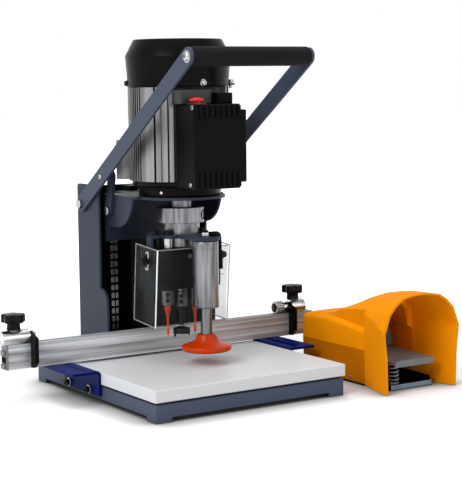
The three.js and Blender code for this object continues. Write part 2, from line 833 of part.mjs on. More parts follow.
// Motor end bell
add("motor_end_bell", turned([
  [shaftRadius + runningGap, bellBottom],
  [bellLowRadius, bellBottom],
  [bellLowRadius, bellBottom + bellLowHeight],
  [bellHighRadius, bellBottom + bellLowHeight + cutOverrun],
  [bellHighRadius, bellBottom + bellHeight],
  [shaftRadius + runningGap, bellBottom + bellHeight],
  [shaftRadius + runningGap, bellBottom],
], 0, 0, fineFacets), blackPaint);

// Motor body with upright fins, a seat above the terminal box and two rear pads
function makeMotorBody() {
  const shape = new THREE.Shape();
  const step = 2 * Math.PI / finCount;
  const half = step * finFillShare / 2;
  for (let i = 0; i < finCount; i += 1) {
    const middle = i * step;
    const corners = [
      [motorRootRadius, middle - half],
      [motorFinRadius, middle - half],
      [motorFinRadius, middle + half],
      [motorRootRadius, middle + half],
    ];
    for (const [radius, angle] of corners) {
      const px = radius * Math.cos(angle);
      const py = radius * Math.sin(angle);
      if (i === 0 && angle < 0 && radius === motorRootRadius) shape.moveTo(px, py);
      else shape.lineTo(px, py);
    }
  }
  let body = pullZ(shape, motorBottom, motorTop);
  for (const side of [-1, 1]) {
    const geometry = new THREE.BoxGeometry(padWidth, padReach, padHeight);
    geometry.translate(0, padReach / 2, motorBottom + padHeight / 2);
    geometry.rotateZ(side * Math.PI / 4);
    body = body.add(toSolid(geometry));
  }
  const seatBottom = boxTop + seatGap;
  body = body.add(block(seatLeft, seatRight, seatFront, 0, seatBottom, seatBottom + seatHeight));
  body = body.subtract(bar("z", motorBore, motorBottom - cutOverrun, motorTop - motorLidThick, 0, 0));
  const journal = shaftRadius + runningGap;
  return body.subtract(bar("z", journal, motorBottom - cutOverrun, motorTop + cutOverrun, 0, 0));
}
add("motor_body", makeMotorBody(), castAluminium);

// Fan cover: a thin shell with radial slots in its lid
function makeFanCover() {
  const shoulder = coverTop - coverBevel;
  const inner = coverBottomRadius - coverWall;
  let cover = turned([
    [0, coverTop - coverWall],
    [coverLidRadius - coverWall, coverTop - coverWall],
    [coverTopRadius - coverWall, shoulder],
    [inner, coverBottom],
    [coverBottomRadius, coverBottom],
    [coverTopRadius, shoulder],
    [coverLidRadius, coverTop],
    [0, coverTop],
  ], 0, 0, fineFacets);
  for (let i = 0; i < coverSlotCount; i += 1) {
    const geometry = new THREE.BoxGeometry(coverSlotOuter - coverSlotInner, coverSlotWidth, coverWall * 2 + cutOverrun);
    geometry.translate((coverSlotOuter + coverSlotInner) / 2, 0, coverTop - coverWall / 2);
    geometry.rotateZ(2 * Math.PI * i / coverSlotCount);
    cover = cover.subtract(toSolid(geometry));
  }
  return cover;
}
add("fan_cover", makeFanCover(), blackPaint);

// Motor shaft with its rotor
const shaftTop = motorTop + shaftTopRise;
const shaftBottom = barrelTop - barrelNeckHeight - barrelCollarHeight;
add("motor_shaft", turned([
  [0, shaftBottom],
  [shaftRadius, shaftBottom],
  [shaftRadius, motorBottom + rotorLow],
  [rotorRadius, motorBottom + rotorLow],
  [rotorRadius, motorBottom + rotorHigh],
  [shaftRadius, motorBottom + rotorHigh],
  [shaftRadius, shaftTop],
  [0, shaftTop],
], 0, 0), darkSteel);

// Cooling fan on the shaft's upper end
function makeFan() {
  const bottom = motorTop + fanLift;
  const bore = shaftRadius + seatGap;
  let fan = bar("z", fanRadius, bottom, bottom + fanPlate, 0, 0);
  fan = fan.add(bar("z", fanHubRadius, bottom, bottom + fanHeight, 0, 0));
  for (let i = 0; i < fanBlades; i += 1) {
    const geometry = new THREE.BoxGeometry(fanRadius - fanHubRadius, fanBladeThick, fanHeight);
    geometry.translate((fanRadius + fanHubRadius) / 2 - cutOverrun, 0, bottom + fanHeight / 2);
    geometry.rotateZ(2 * Math.PI * i / fanBlades);
    fan = fan.add(toSolid(geometry));
  }
  return fan.subtract(bar("z", bore, bottom - cutOverrun, bottom + fanHeight + cutOverrun, 0, 0));
}
add("cooling_fan", makeFan(), blackPlastic);

// Terminal box, hollowed to sit on the motor
function makeTerminalBox() {
  const shape = roundedRectangle(-boxHalfWidth, boxHalfWidth, boxFront, boxBack, boxCorner);
  let box = pullZ(shape, boxBottom, boxTop);
  box = box.add(block(bossLeft, bossLeft + bossWidth, bossFront, bossFront + bossDepth, boxTop - cutOverrun, boxTop + bossHeight));
  box = box.subtract(bar("z", motorFinRadius + seatGap, boxBottom - cutOverrun, boxTop + bossHeight + cutOverrun, 0, 0, fineFacets));
  const holeBottom = boxTop - buttonStemLength - buttonTravelGap;
  return box.subtract(bar("z", buttonStem + runningGap, holeBottom, boxTop + cutOverrun, buttonX, buttonY));
}
add("terminal_box", makeTerminalBox(), blackPlastic);

// Red push button on the terminal box
const buttonBottom = boxTop + buttonTravelGap;
add("red_button", turned([
  [0, boxTop - buttonStemLength],
  [buttonStem, boxTop - buttonStemLength],
  [buttonStem, buttonBottom],
  [buttonRadius, buttonBottom],
  [buttonRadius, buttonBottom + buttonCap],
  [0, buttonBottom + buttonCap],
], buttonX, buttonY), redPlastic);

// Spindle barrel under the motor flange
const collarTop = barrelTop - barrelNeckHeight;
const collarBottom = collarTop - barrelCollarHeight;
add("head_barrel", turned([
  [shaftRadius + runningGap, barrelBottom],
  [barrelRadius, barrelBottom],
  [barrelRadius, collarBottom],
  [barrelCollarRadius, collarBottom],
  [barrelCollarRadius, collarTop],
  [barrelNeckRadius, collarTop],
  [barrelNeckRadius, barrelTop],
  [shaftRadius + runningGap, barrelTop],
  [shaftRadius + runningGap, barrelBottom],
], 0, 0, fineFacets), aluminium);

// Gear head: a housing with a chamber for three meshed gears
function makeGearHead() {
  const shape = roundedRectangle(-headHalfWidth, headHalfWidth, -headHalfDepth, headHalfDepth, headCorner);
  let head = pullZ(shape, headBottom, headTop);
  const studEnd = guardHalfWidth - guardWall - seatGap;
  head = head.add(bar("x", knobBossRadius, -studEnd, studEnd, knobY, knobZ, smallFacets));
  const chamberRadius = gearTip + gearRoom;
  head = head.subtract(pullZ(roundEndedBar(-spindlePitch, 0, spindlePitch, 0, chamberRadius), cavityBottom, cavityTop));
  const bore = spindleRadius + runningGap;
  for (const x of [-spindlePitch, 0, spindlePitch]) {
    const top = x === 0 ? headTop + cutOverrun : cavityTop + headJournalRise;
    head = head.subtract(bar("z", bore, headBottom - cutOverrun, top, x, 0));
  }
  const past = studEnd + cutOverrun;
  for (const side of [-1, 1]) {
    const from = side < 0 ? -past : studEnd - knobStudReach;
    const to = side < 0 ? -studEnd + knobStudReach : past;
    head = head.subtract(bar("x", knobStudRadius + seatGap, from, to, knobY, knobZ, smallFacets));
  }
  return head;
}
add("gear_head", makeGearHead(), blackPaint);

// One spindle: shaft, gear and chuck. A turned gear has a gap where its neighbour has a tooth.
function makeSpindle(x, shaftEnd, chuckLength, gearTurn) {
  const shape = new THREE.Shape();
  const step = 2 * Math.PI / gearTeeth;
  for (let i = 0; i < gearTeeth; i += 1) {
    const middle = i * step + gearTurn;
    const across = new THREE.Vector2(-Math.sin(middle), Math.cos(middle));
    const along = new THREE.Vector2(Math.cos(middle), Math.sin(middle));
    const corners = [
      [gearRoot, -gearToothRoot],
      [gearTip, -gearToothTip],
      [gearTip, gearToothTip],
      [gearRoot, gearToothRoot],
    ];
    for (const [reach, offset] of corners) {
      const px = x + along.x * reach + across.x * offset;
      const py = along.y * reach + across.y * offset;
      if (i === 0 && reach === gearRoot && offset < 0) shape.moveTo(px, py);
      else shape.lineTo(px, py);
    }
  }
  let spindle = pullZ(shape, gearBottom, gearBottom + gearWidth);
  spindle = spindle.add(bar("z", spindleRadius, chuckTop - cutOverrun, shaftEnd, x, 0));
  const chuckBottom = chuckTop - chuckLength;
  const chuck = turned([
    [0, chuckBottom + chuckBoreDepth],
    [chuckBore + seatGap, chuckBottom + chuckBoreDepth],
    [chuckBore + seatGap, chuckBottom],
    [chuckRadius - chuckChamfer, chuckBottom],
    [chuckRadius, chuckBottom + chuckChamfer],
    [chuckRadius, chuckTop],
    [0, chuckTop],
  ], x, 0);
  return spindle.add(chuck);
}
const sideEnd = cavityTop + headJournalRise - seatGap;
const centreEnd = shaftBottom - seatGap;
const halfTooth = Math.PI / gearTeeth;
add("spindle_left", makeSpindle(-spindlePitch, sideEnd, sideChuckLength, halfTooth), brightSteel);
add("spindle_centre", makeSpindle(0, centreEnd, centreChuckLength, 0), brightSteel);
add("spindle_right", makeSpindle(spindlePitch, sideEnd, sideChuckLength, halfTooth), brightSteel);

// Drills and the hinge cup cutter
function makeDrill(x) {
  const chuckBottom = chuckTop - sideChuckLength;
  const shankTop = chuckBottom + chuckBoreDepth - seatGap;
  const shankBottom = chuckBottom - drillShankBelow;
  return turned([
    [0, toolTip],
    [drillRadius, toolTip + drillPoint],
    [drillRadius, shankBottom - drillTaper],
    [chuckBore, shankBottom],
    [chuckBore, shankTop],
    [0, shankTop],
  ], x, 0);
}
add("drill_left", makeDrill(-spindlePitch), drillOrange);
add("drill_right", makeDrill(spindlePitch), drillOrange);

function makeCutter() {
  const chuckBottom = chuckTop - centreChuckLength;
  const shankTop = chuckBottom + chuckBoreDepth - seatGap;
  const shankBottom = chuckBottom - drillShankBelow;
  const face = toolTip + cutterPoint;
  return turned([
    [0, toolTip],
    [cutterPoint, face],
    [cutterRadius - cutterRim - cutterRim, face],
    [cutterRadius - cutterRim, face - cutterRim],
    [cutterRadius, face - cutterRim],
    [cutterRadius, face + cutterHeight],
    [cutterNeckRadius, face + cutterHeight + cutterRim],
    [cutterNeckRadius, shankBottom],
    [chuckBore, shankBottom + cutOverrun],
    [chuckBore, shankTop],
    [0, shankTop],
  ], 0, 0);
}
add("cutter", makeCutter(), darkSteel);

// Clear guard: three sides of one bent sheet, with a slot in each side
function makeGuard() {
  const outer = new THREE.Shape();
  outer.moveTo(-guardHalfWidth, guardBack);
  outer.lineTo(-guardHalfWidth, guardFront + guardBend);
  outer.absarc(-guardHalfWidth + guardBend, guardFront + guardBend, guardBend, Math.PI, 1.5 * Math.PI, false);
  outer.lineTo(guardHalfWidth - guardBend, guardFront);
  outer.absarc(guardHalfWidth - guardBend, guardFront + guardBend, guardBend, -Math.PI / 2, 0, false);
  outer.lineTo(guardHalfWidth, guardBack);
  outer.lineTo(guardHalfWidth - guardWall, guardBack);
  const inner = guardBend - guardWall;
  outer.lineTo(guardHalfWidth - guardWall, guardFront + guardBend);
  outer.absarc(guardHalfWidth - guardBend, guardFront + guardBend, inner, 0, -Math.PI / 2, true);
  outer.lineTo(-guardHalfWidth + guardBend, guardFront + guardWall);
  outer.absarc(-guardHalfWidth + guardBend, guardFront + guardBend, inner, 1.5 * Math.PI, Math.PI, true);
  outer.lineTo(-guardHalfWidth + guardWall, guardBack);
  let sheet = pullZ(outer, guardBottom, guardTop);
  const reach = guardSlotHalfLength - guardSlotHalfWidth;
  const slot = roundEndedBar(knobY, knobZ - reach, knobY, knobZ + reach, guardSlotHalfWidth);
  const past = guardHalfWidth + cutOverrun;
  sheet = sheet.subtract(pullX(slot, -past, past));
  const lean = THREE.MathUtils.radToDeg(guardLean);
  return sheet.translate([0, -knobY, -knobZ]).rotate([lean, 0, 0]).translate([0, knobY, knobZ]);
}
add("guard", makeGuard(), clearSheet);

function makeGuardKnob(side) {
  const inner = -guardHalfWidth - seatGap;
  const studEnd = -(guardHalfWidth - guardWall - seatGap - knobStudReach) - seatGap;
  const knob = bar("x", knobRadius, inner - knobLength, inner, knobY, knobZ);
  return mirrored(knob.add(bar("x", knobStudRadius, inner - seatGap, studEnd, knobY, knobZ, smallFacets)), side);
}
add("guard_knob_left", makeGuardKnob(-1), blackPlastic);
add("guard_knob_right", makeGuardKnob(1), blackPlastic);

// Hold-down bracket: a plate round the barrel with a tongue in front and a tab at the left
function makeClampBracket() {
  const body = roundedRectangle(clampPlateLeft, clampPlateRight, clampPlateFront, clampPlateBack, clampPlateCorner);
  let plate = pullZ(body, clampPlateBottom, clampPlateTop);
  plate = plate.add(pullZ(roundEndedBar(0, 0, 0, clampY, clampTongueHalfWidth), clampPlateBottom, clampPlateTop, smallFacets));
  const legBack = clampLegFront + clampTabDepth;
  const leg = new THREE.Shape();
  leg.moveTo(clampPlateLeft + clampPlateCorner, clampPlateTop);
  leg.lineTo(clampLegLeft + clampLegCorner, clampPlateTop);
  leg.absarc(clampLegLeft + clampLegCorner, clampPlateTop - clampLegCorner, clampLegCorner, Math.PI / 2, Math.PI, false);
  leg.lineTo(clampLegLeft, headTop + seatGap);
  leg.lineTo(clampLegLeft + clampTabWidth, headTop + seatGap);
  leg.lineTo(clampLegLeft + clampTabWidth, clampPlateBottom);
  leg.lineTo(clampPlateLeft + clampPlateCorner, clampPlateBottom);
  plate = plate.add(pullY(leg, clampLegFront, legBack));
  plate = plate.subtract(bar("z", barrelRadius + seatGap, clampPlateBottom - cutOverrun, clampPlateTop + cutOverrun, 0, 0, fineFacets));
  return plate.subtract(bar("z", cylinderStubRadius + seatGap, clampPlateBottom - cutOverrun,
    clampPlateTop + cutOverrun, 0, clampY));
}
add("clamp_bracket", makeClampBracket(), steelBlue);

// Hold-down cylinder, with its bore open at the gland
add("clamp_cylinder", turned([
  [0, cylinderTop - cylinderHeadLength],
  [cylinderCavityRadius, cylinderTop - cylinderHeadLength],
  [cylinderCavityRadius, cylinderBottom + cylinderGlandLength],
  [rodRadius + seatGap, cylinderBottom + cylinderGlandLength],
  [rodRadius + seatGap, cylinderBottom],
  [cylinderRadius, cylinderBottom],
  [cylinderRadius, cylinderTop],
  [cylinderStubRadius, cylinderTop],
  [cylinderStubRadius, clampPlateTop + cylinderStubRise],
  [0, clampPlateTop + cylinderStubRise],
], 0, clampY), aluminium);

// Piston rod with its piston and the stud for the pad
add("clamp_rod", turned([
  [0, rodBottom - rodStudLength],
  [rodStudRadius, rodBottom - rodStudLength],
  [rodStudRadius, rodBottom],
  [rodRadius, rodBottom],
  [rodRadius, rodTop - pistonLength],
  [cylinderCavityRadius - seatGap, rodTop - pistonLength],
  [cylinderCavityRadius - seatGap, rodTop],
  [0, rodTop],
], 0, clampY), brightSteel);

// Hold-down pad
add("clamp_pad", turned([
  [0, padBottom],
  [padRadius - padBevel, padBottom],
  [padRadius, padBottom + padBevel],
  [padRadius, padBottom + padRimHeight],
  [padHubRadius + padBevel, padBottom + padDiscHeight],
  [padHubRadius, padBottom + padDiscHeight + padBevel],
  [padHubRadius - padBevel, rodBottom - seatGap],
  [rodStudRadius + seatGap, rodBottom - seatGap],
  [rodStudRadius + seatGap, rodBottom - rodStudLength - seatGap],
  [0, rodBottom - rodStudLength - seatGap],
], 0, clampY), padOrange);

// Air elbow: across the plate and down beside the cylinder
function makeAirElbow() {
  const bottom = clampPlateTop + seatGap;
  const front = clampY - elbowHalfDepth;
  const back = clampY + elbowHalfDepth;
  const across = block(elbowLeft, elbowRight, front, back, bottom, bottom + elbowThick);
  return across.add(block(elbowRight - elbowThick, elbowRight, front, back, bottom - elbowDrop, bottom + elbowThick));
}
add("air_elbow", makeAirElbow(), blackPlastic);

// Lever arms, cross tube and grip
function makeArm(side) {
  const shape = roundEndedBar(pivotY, pivotZ, gripY, gripZ, armHalfWidth);
  let plate = pullX(shape, -armOuter, -armInner, smallFacets);
  plate = plate.add(bar("x", linkPinRadius, -armOuter, -linkInner, linkHighY, linkHighZ, smallFacets));
  const hole = bar("x", pivotBoltRadius + runningGap, -armOuter - cutOverrun, -armInner + cutOverrun, pivotY, pivotZ);
  return mirrored(plate.subtract(hole), side);
}
add("arm_left", makeArm(-1), steelBlue);
add("arm_right", makeArm(1), steelBlue);

const tubeEnd = armInner - seatGap;
add("grip_tube", bar("x", tubeRadius, -tubeEnd, tubeEnd, gripY, gripZ), brightSteel);

function makeGrip() {
  const end = tubeEnd - gripEndGap;
  const bore = tubeRadius + seatGap;
  const profile = [
    [bore, -end],
    [gripRadius - gripEndRound, -end],
    [gripRadius, gripEndRound - end],
    [gripRadius, end - gripEndRound],
    [gripRadius - gripEndRound, end],
    [bore, end],
    [bore, -end],
  ];
  const points = profile.map(([radius, height]) => new THREE.Vector2(radius, height));
  const geometry = new THREE.LatheGeometry(points, roundFacets);
  geometry.rotateZ(-Math.PI / 2);
  geometry.translate(0, gripY, gripZ);
  return toSolid(geometry);
}
add("grip", makeGrip(), foam);

// Pivot bolts through the arms into the column
function makePivotBolt(side) {
  const seat = -armOuter - seatGap;
  const tail = -columnHalfWidth + columnWall + pivotTail;
  const shank = bar("x", pivotBoltRadius, seat - cutOverrun, tail, pivotY, pivotZ);
  const head = bar("x", pivotHeadRadius, seat - pivotHeadLength, seat, pivotY, pivotZ);
  return mirrored(shank.add(head), side);
}
add("pivot_bolt_left", makePivotBolt(-1), brightSteel);
add("pivot_bolt_right", makePivotBolt(1), brightSteel);

// Links and the bolts that hold them on the carriage
const linkOuter = linkInner + linkThick;
function makeLink(side) {
  const shape = roundEndedBar(linkLowY, linkLowZ, linkHighY, linkHighZ, linkHalfWidth);
  let plate = pullX(shape, -linkOuter, -linkInner, smallFacets);
  const from = -linkOuter - cutOverrun;
  const to = -linkInner + cutOverrun;
  plate = plate.subtract(bar("x", linkBoltRadius + runningGap, from, to, linkLowY, linkLowZ, smallFacets));
  plate = plate.subtract(bar("x", linkHoleRadius, from, to, linkHighY, linkHighZ, smallFacets));
  return mirrored(plate, side);
}
add("link_left", makeLink(-1), steelBlue);
add("link_right", makeLink(1), steelBlue);

function makeLinkBolt(side) {
  const seat = -linkOuter - seatGap;
  const tail = carriageWall - carriageHalfWidth;
  const shank = bar("x", linkBoltRadius, seat - cutOverrun, tail, linkLowY, linkLowZ);
  const head = bar("x", linkHeadRadius, seat - linkHeadLength, seat, linkLowY, linkLowZ);
  return mirrored(shank.add(head), side);
}
add("link_bolt_left", makeLinkBolt(-1), brightSteel);
add("link_bolt_right", makeLinkBolt(1), brightSteel);

// One arch of the hood, from the left foot over the crown to the right foot
function hoodArch(y, fullHalfWidth, height, shoulder, inset) {
  const halfWidth = fullHalfWidth - inset;
  const top = height - inset;
  const radius = shoulder - inset;
  const points = [[-halfWidth, 0]];
  for (const side of [-1, 1]) {
    for (let i = 0; i <= hoodArcSteps; i += 1) {
      const turn = (Math.PI / 2) * (i / hoodArcSteps);
      const angle = side < 0 ? Math.PI - turn : Math.PI / 2 - turn;
      points.push([side * (halfWidth - radius) + radius * Math.cos(angle), top - radius + radius * Math.sin(angle)]);
    }
  }
  points.push([halfWidth, 0]);
  return points.map(([x, z]) => new THREE.Vector3(pedalX + x, y, z));
}

// A closed solid through arches of equal point count
function loftArches(arches) {
  const positions = [];
  const indices = [];
  const count = arches[0].length;
  for (const arch of arches) {
    for (const point of arch) positions.push(point.x, point.y, point.z);
  }
  for (let s = 0; s + 1 < arches.length; s += 1) {
    for (let i = 0; i < count; i += 1) {
      const a = s * count + i;
      const b = s * count + (i + 1) % count;
      indices.push(a, b + count, b, a, a + count, b + count);
    }
  }
  const last = (arches.length - 1) * count;
  for (let i = 1; i + 1 < count; i += 1) {
    indices.push(0, i, i + 1);
    indices.push(last, last + i + 1, last + i);
  }
  const geometry = new THREE.BufferGeometry();
  geometry.setAttribute("position", new THREE.Float32BufferAttribute(positions, 3));
  geometry.setIndex(indices);
  const solid = toSolid(geometry);
  if (solid.volume() > 0) return solid;
  geometry.setIndex(indices.reverse());
  return toSolid(geometry);
}

// The hood's rear body has straight sides up to a crease, and flares from there to its mouth
function makeHood() {
  const flareShare = (hoodCreaseY - hoodCrownY) / (hoodCreaseY - hoodFront);
  const crownHalfWidth = hoodRearHalfWidth + (hoodFrontHalfWidth - hoodRearHalfWidth) * flareShare;
  const stations = [
    [hoodFront, hoodFrontHalfWidth, hoodFrontHeight, hoodFrontShoulder],
    [hoodCrownY, crownHalfWidth, hoodCrownHeight, hoodCrownShoulder],
    [hoodCreaseY, hoodRearHalfWidth, hoodCreaseHeight, hoodCreaseShoulder],
    [hoodNeckY, hoodRearHalfWidth, hoodNeckHeight, hoodRearShoulder],
    [hoodBack, hoodRearHalfWidth, hoodBackHeight, hoodRearShoulder],
  ];
  const outer = stations.map(([y, halfWidth, height, shoulder]) => hoodArch(y, halfWidth, height, shoulder, 0));
  const inner = stations.map(([y, halfWidth, height, shoulder], i) => {
    const first = i === 0 ? -cutOverrun : 0;
    const last = i === stations.length - 1 ? -hoodWall : 0;
    return hoodArch(y + first + last, halfWidth, height, shoulder, hoodWall).map((point) => {
      if (point.z === 0) point.setZ(-cutOverrun);
      return point;
    });
  });
  return loftArches(outer).subtract(loftArches(inner));
}
add("pedal_hood", makeHood(), hoodYellow);

// Pedal base: a tapered tray with a front lip and two ears
function makePedalBase() {
  const backHalf = hoodRearHalfWidth - hoodWall - seatGap;
  const back = hoodBack - hoodWall - seatGap;
  const frontHalf = pedalBaseFrontHalfWidth;
  const corners = [
    [pedalX - frontHalf, pedalBaseFront],
    [pedalX + frontHalf, pedalBaseFront],
    [pedalX + backHalf, hoodCreaseY],
    [pedalX + backHalf, back],
    [pedalX - backHalf, back],
    [pedalX - backHalf, hoodCreaseY],
  ];
  let tray = pullZ(outline(corners), 0, pedalBaseWallHeight);
  const inset = [
    [pedalX - frontHalf + pedalBaseWall, pedalBaseFront + pedalBaseWall],
    [pedalX + frontHalf - pedalBaseWall, pedalBaseFront + pedalBaseWall],
    [pedalX + backHalf - pedalBaseWall, hoodCreaseY],
    [pedalX + backHalf - pedalBaseWall, back - pedalBaseWall],
    [pedalX - backHalf + pedalBaseWall, back - pedalBaseWall],
    [pedalX - backHalf + pedalBaseWall, hoodCreaseY],
  ];
  tray = tray.subtract(pullZ(outline(inset), pedalBaseThick, pedalBaseWallHeight + cutOverrun));
  tray = tray.subtract(block(pedalX - frontHalf - cutOverrun, pedalX + frontHalf + cutOverrun,
    pedalBaseFront - cutOverrun, pedalBaseFront + pedalBaseWall + cutOverrun, pedalLipHeight, pedalBaseWallHeight + cutOverrun));
  const earOuter = pedalEarInner + pedalEarThick;
  for (const side of [-1, 1]) {
    const x0 = pedalX + (side < 0 ? -earOuter : pedalEarInner);
    tray = tray.add(block(x0, x0 + pedalEarThick, pedalPinY - pedalEarHalfDepth, pedalPinY + pedalEarHalfDepth,
      pedalBaseThick - cutOverrun, pedalPinZ + pedalEarRise));
  }
  const hole = pedalPinRadius + seatGap;
  const past = earOuter + cutOverrun;
  return tray.subtract(bar("x", hole, pedalX - past, pedalX + past, pedalPinY, pedalPinZ, smallFacets));
}
add("pedal_base", makePedalBase(), blackPlastic);

const pinEnd = pedalEarInner + pedalEarThick;
add("pedal_pin", bar("x", pedalPinRadius, pedalX - pinEnd, pedalX + pinEnd, pedalPinY, pedalPinZ, smallFacets), brightSteel);

// Treadle: a sloping plate with a front lip, on an eye round the pin
function makeTreadle() {
  const section = outline([
    [treadleFront, treadleFrontZ],
    [treadleFront, treadleFrontZ - treadleLip],
    [treadleFront + treadleThick, treadleFrontZ - treadleLip],
    [treadleFront + treadleThick, treadleFrontZ - treadleThick],
    [treadleBack, treadleBackZ - treadleThick],
    [treadleBack, treadleBackZ],
  ]);
  let plate = pullX(section, pedalX - treadleHalfWidth, pedalX + treadleHalfWidth);
  const tongue = outline([
    [treadleBack - cutOverrun, treadleBackZ - treadleThick],
    [treadleBack - cutOverrun, treadleBackZ],
    [pedalPinY, pedalPinZ + treadleEyeRadius],
    [pedalPinY, pedalPinZ],
  ].reverse());
  const x0 = pedalX - treadleTongueHalfWidth;
  const x1 = pedalX + treadleTongueHalfWidth;
  plate = plate.add(pullX(tongue, x0, x1)).add(bar("x", treadleEyeRadius, x0, x1, pedalPinY, pedalPinZ));
  const hole = pedalPinRadius + runningGap;
  return plate.subtract(bar("x", hole, x0 - cutOverrun, x1 + cutOverrun, pedalPinY, pedalPinZ, smallFacets));
}
add("pedal_treadle", makeTreadle(), castAluminium);

// Pedal spring: one unbroken coil, with flat-cut ends at the tray and under the treadle
function springPoint(share) {
  const angle = 2 * Math.PI * pedalSpringTurns * share;
  return new THREE.Vector3(
    pedalX + pedalSpringX + pedalSpringRadius * Math.cos(angle),
    pedalSpringY + pedalSpringRadius * Math.sin(angle),
    pedalSpringLow + (pedalSpringTop - pedalSpringLow) * share,
  );
}

function makeSpring() {
  const steps = pedalSpringTurns * springStepsPerTurn;
  const rings = [];
  for (let i = 0; i <= steps; i += 1) {
    const share = i / steps;
    const angle = 2 * Math.PI * pedalSpringTurns * share;
    const centre = springPoint(share);
    const outward = new THREE.Vector3(Math.cos(angle), Math.sin(angle), 0);
    const ring = [];
    for (let k = 0; k < springSides; k += 1) {
      const turn = 2 * Math.PI * k / springSides;
      const point = centre.clone();
      point.addScaledVector(outward, pedalSpringWire / 2 * Math.cos(turn));
      point.addScaledVector(axisZ, pedalSpringWire / 2 * Math.sin(turn));
      ring.push(point);
    }
    rings.push(ring);
  }
  return loftArches(rings);
}

// The least gap between turns, measured on points of the coil's middle line
function springLeastGap() {
  const steps = pedalSpringTurns * springStepsPerTurn;
  let least = Infinity;
  for (let i = 0; i <= steps; i += 1) {
    for (let j = i + springStepsPerTurn / 2; j <= steps; j += 1) {
      const distance = springPoint(i / steps).distanceTo(springPoint(j / steps));
      least = Math.min(least, distance - pedalSpringWire);
    }
  }
  return least;
}
console.log(`pedal spring least gap ${springLeastGap().toFixed(2)} mm`);
add("pedal_spring", makeSpring(), brightSteel);

// Air valve in the pedal
add("pedal_valve", block(pedalX - valveHalfWidth, pedalX + valveHalfWidth, valveFront, valveBack,
  pedalBaseThick + seatGap, pedalBaseThick + seatGap + valveHeight), aluminium);

// The finished object stands on the floor, centred on its own outline
const bounds = new THREE.Box3().setFromObject(machine);
const centre = bounds.getCenter(new THREE.Vector3());
machine.position.set(-centre.x, -centre.y, -bounds.min.z);
machine.updateMatrixWorld(true);
console.log(`spindle axis at ${(-centre.x).toFixed(3)}, ${(-centre.y).toFixed(3)} mm from the outline's centre`);

export default machine;
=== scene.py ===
"""Bench hinge boring machine with its foot pedal, dressed and lit for a studio picture."""

import json
import math

import bmesh
import bpy
from mathutils import Matrix, Vector


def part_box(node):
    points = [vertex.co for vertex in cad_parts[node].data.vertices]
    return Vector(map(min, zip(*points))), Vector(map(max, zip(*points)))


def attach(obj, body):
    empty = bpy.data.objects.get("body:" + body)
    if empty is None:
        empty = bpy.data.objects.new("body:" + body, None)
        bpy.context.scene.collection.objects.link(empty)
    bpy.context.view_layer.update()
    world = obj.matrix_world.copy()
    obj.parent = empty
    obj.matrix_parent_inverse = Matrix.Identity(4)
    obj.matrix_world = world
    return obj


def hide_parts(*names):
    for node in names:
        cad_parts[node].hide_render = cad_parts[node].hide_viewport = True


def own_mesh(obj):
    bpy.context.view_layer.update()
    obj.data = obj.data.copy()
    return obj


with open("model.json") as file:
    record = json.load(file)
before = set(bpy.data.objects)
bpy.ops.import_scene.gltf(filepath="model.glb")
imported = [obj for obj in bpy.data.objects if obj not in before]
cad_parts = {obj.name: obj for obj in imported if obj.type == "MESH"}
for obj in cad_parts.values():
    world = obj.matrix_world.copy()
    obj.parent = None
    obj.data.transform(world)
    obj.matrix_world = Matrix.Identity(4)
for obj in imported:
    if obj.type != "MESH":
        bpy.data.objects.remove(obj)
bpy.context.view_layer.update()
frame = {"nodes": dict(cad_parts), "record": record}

MM = 0.001
ROUND = 96
TAU = 2 * math.pi

# The spindle axis is where the drawing's X and Y are zero
axis_low, axis_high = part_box("spindle_centre")
AXIS_X = (axis_low.x + axis_high.x) / 2
AXIS_Y = (axis_low.y + axis_high.y) / 2


def at(x, y, z):
    """A point of the drawing in millimetres, as a point of the scene in metres."""
    return Vector((AXIS_X + x * MM, AXIS_Y + y * MM, z * MM))


# Camera
VIEW_RIGHT = Vector((0.83822988, -0.54519975, -0.01130922))
VIEW_UP = Vector((0.06885499, 0.08524435, 0.99397806))
VIEW_BACK = Vector((-0.54095254, -0.83396081, 0.10899409))
VIEW_PLACE = (-1144.10133561, -1904.35442148, 467.67202567)
FOCAL_PIXELS = 1476.93
LONG_SIDE_PIXELS = 480
SENSOR = 36.0


def make_camera():
    data = bpy.data.cameras.new("camera")
    data.sensor_width = SENSOR
    data.lens = FOCAL_PIXELS * SENSOR / LONG_SIDE_PIXELS
    data.clip_start = 0.05
    data.clip_end = 50
    camera = bpy.data.objects.new("camera", data)
    bpy.context.scene.collection.objects.link(camera)
    turn = Matrix((VIEW_RIGHT, VIEW_UP, VIEW_BACK)).transposed()
    camera.matrix_world = Matrix.Translation(at(*VIEW_PLACE)) @ turn.to_4x4()
    bpy.context.scene.camera = camera


make_camera()


# Materials
def linear(value):
    value = value / 255
    return value / 12.92 if value <= 0.04045 else ((value + 0.055) / 1.055) ** 2.4


def colour(rgb):
    return tuple(linear(v) for v in rgb) + (1.0,)


def scaled(rgb, share):
    return tuple(min(255, max(0, v * share)) for v in rgb)


def set_socket(shader, name, value):
    if name in shader.inputs:
        shader.inputs[name].default_value = value


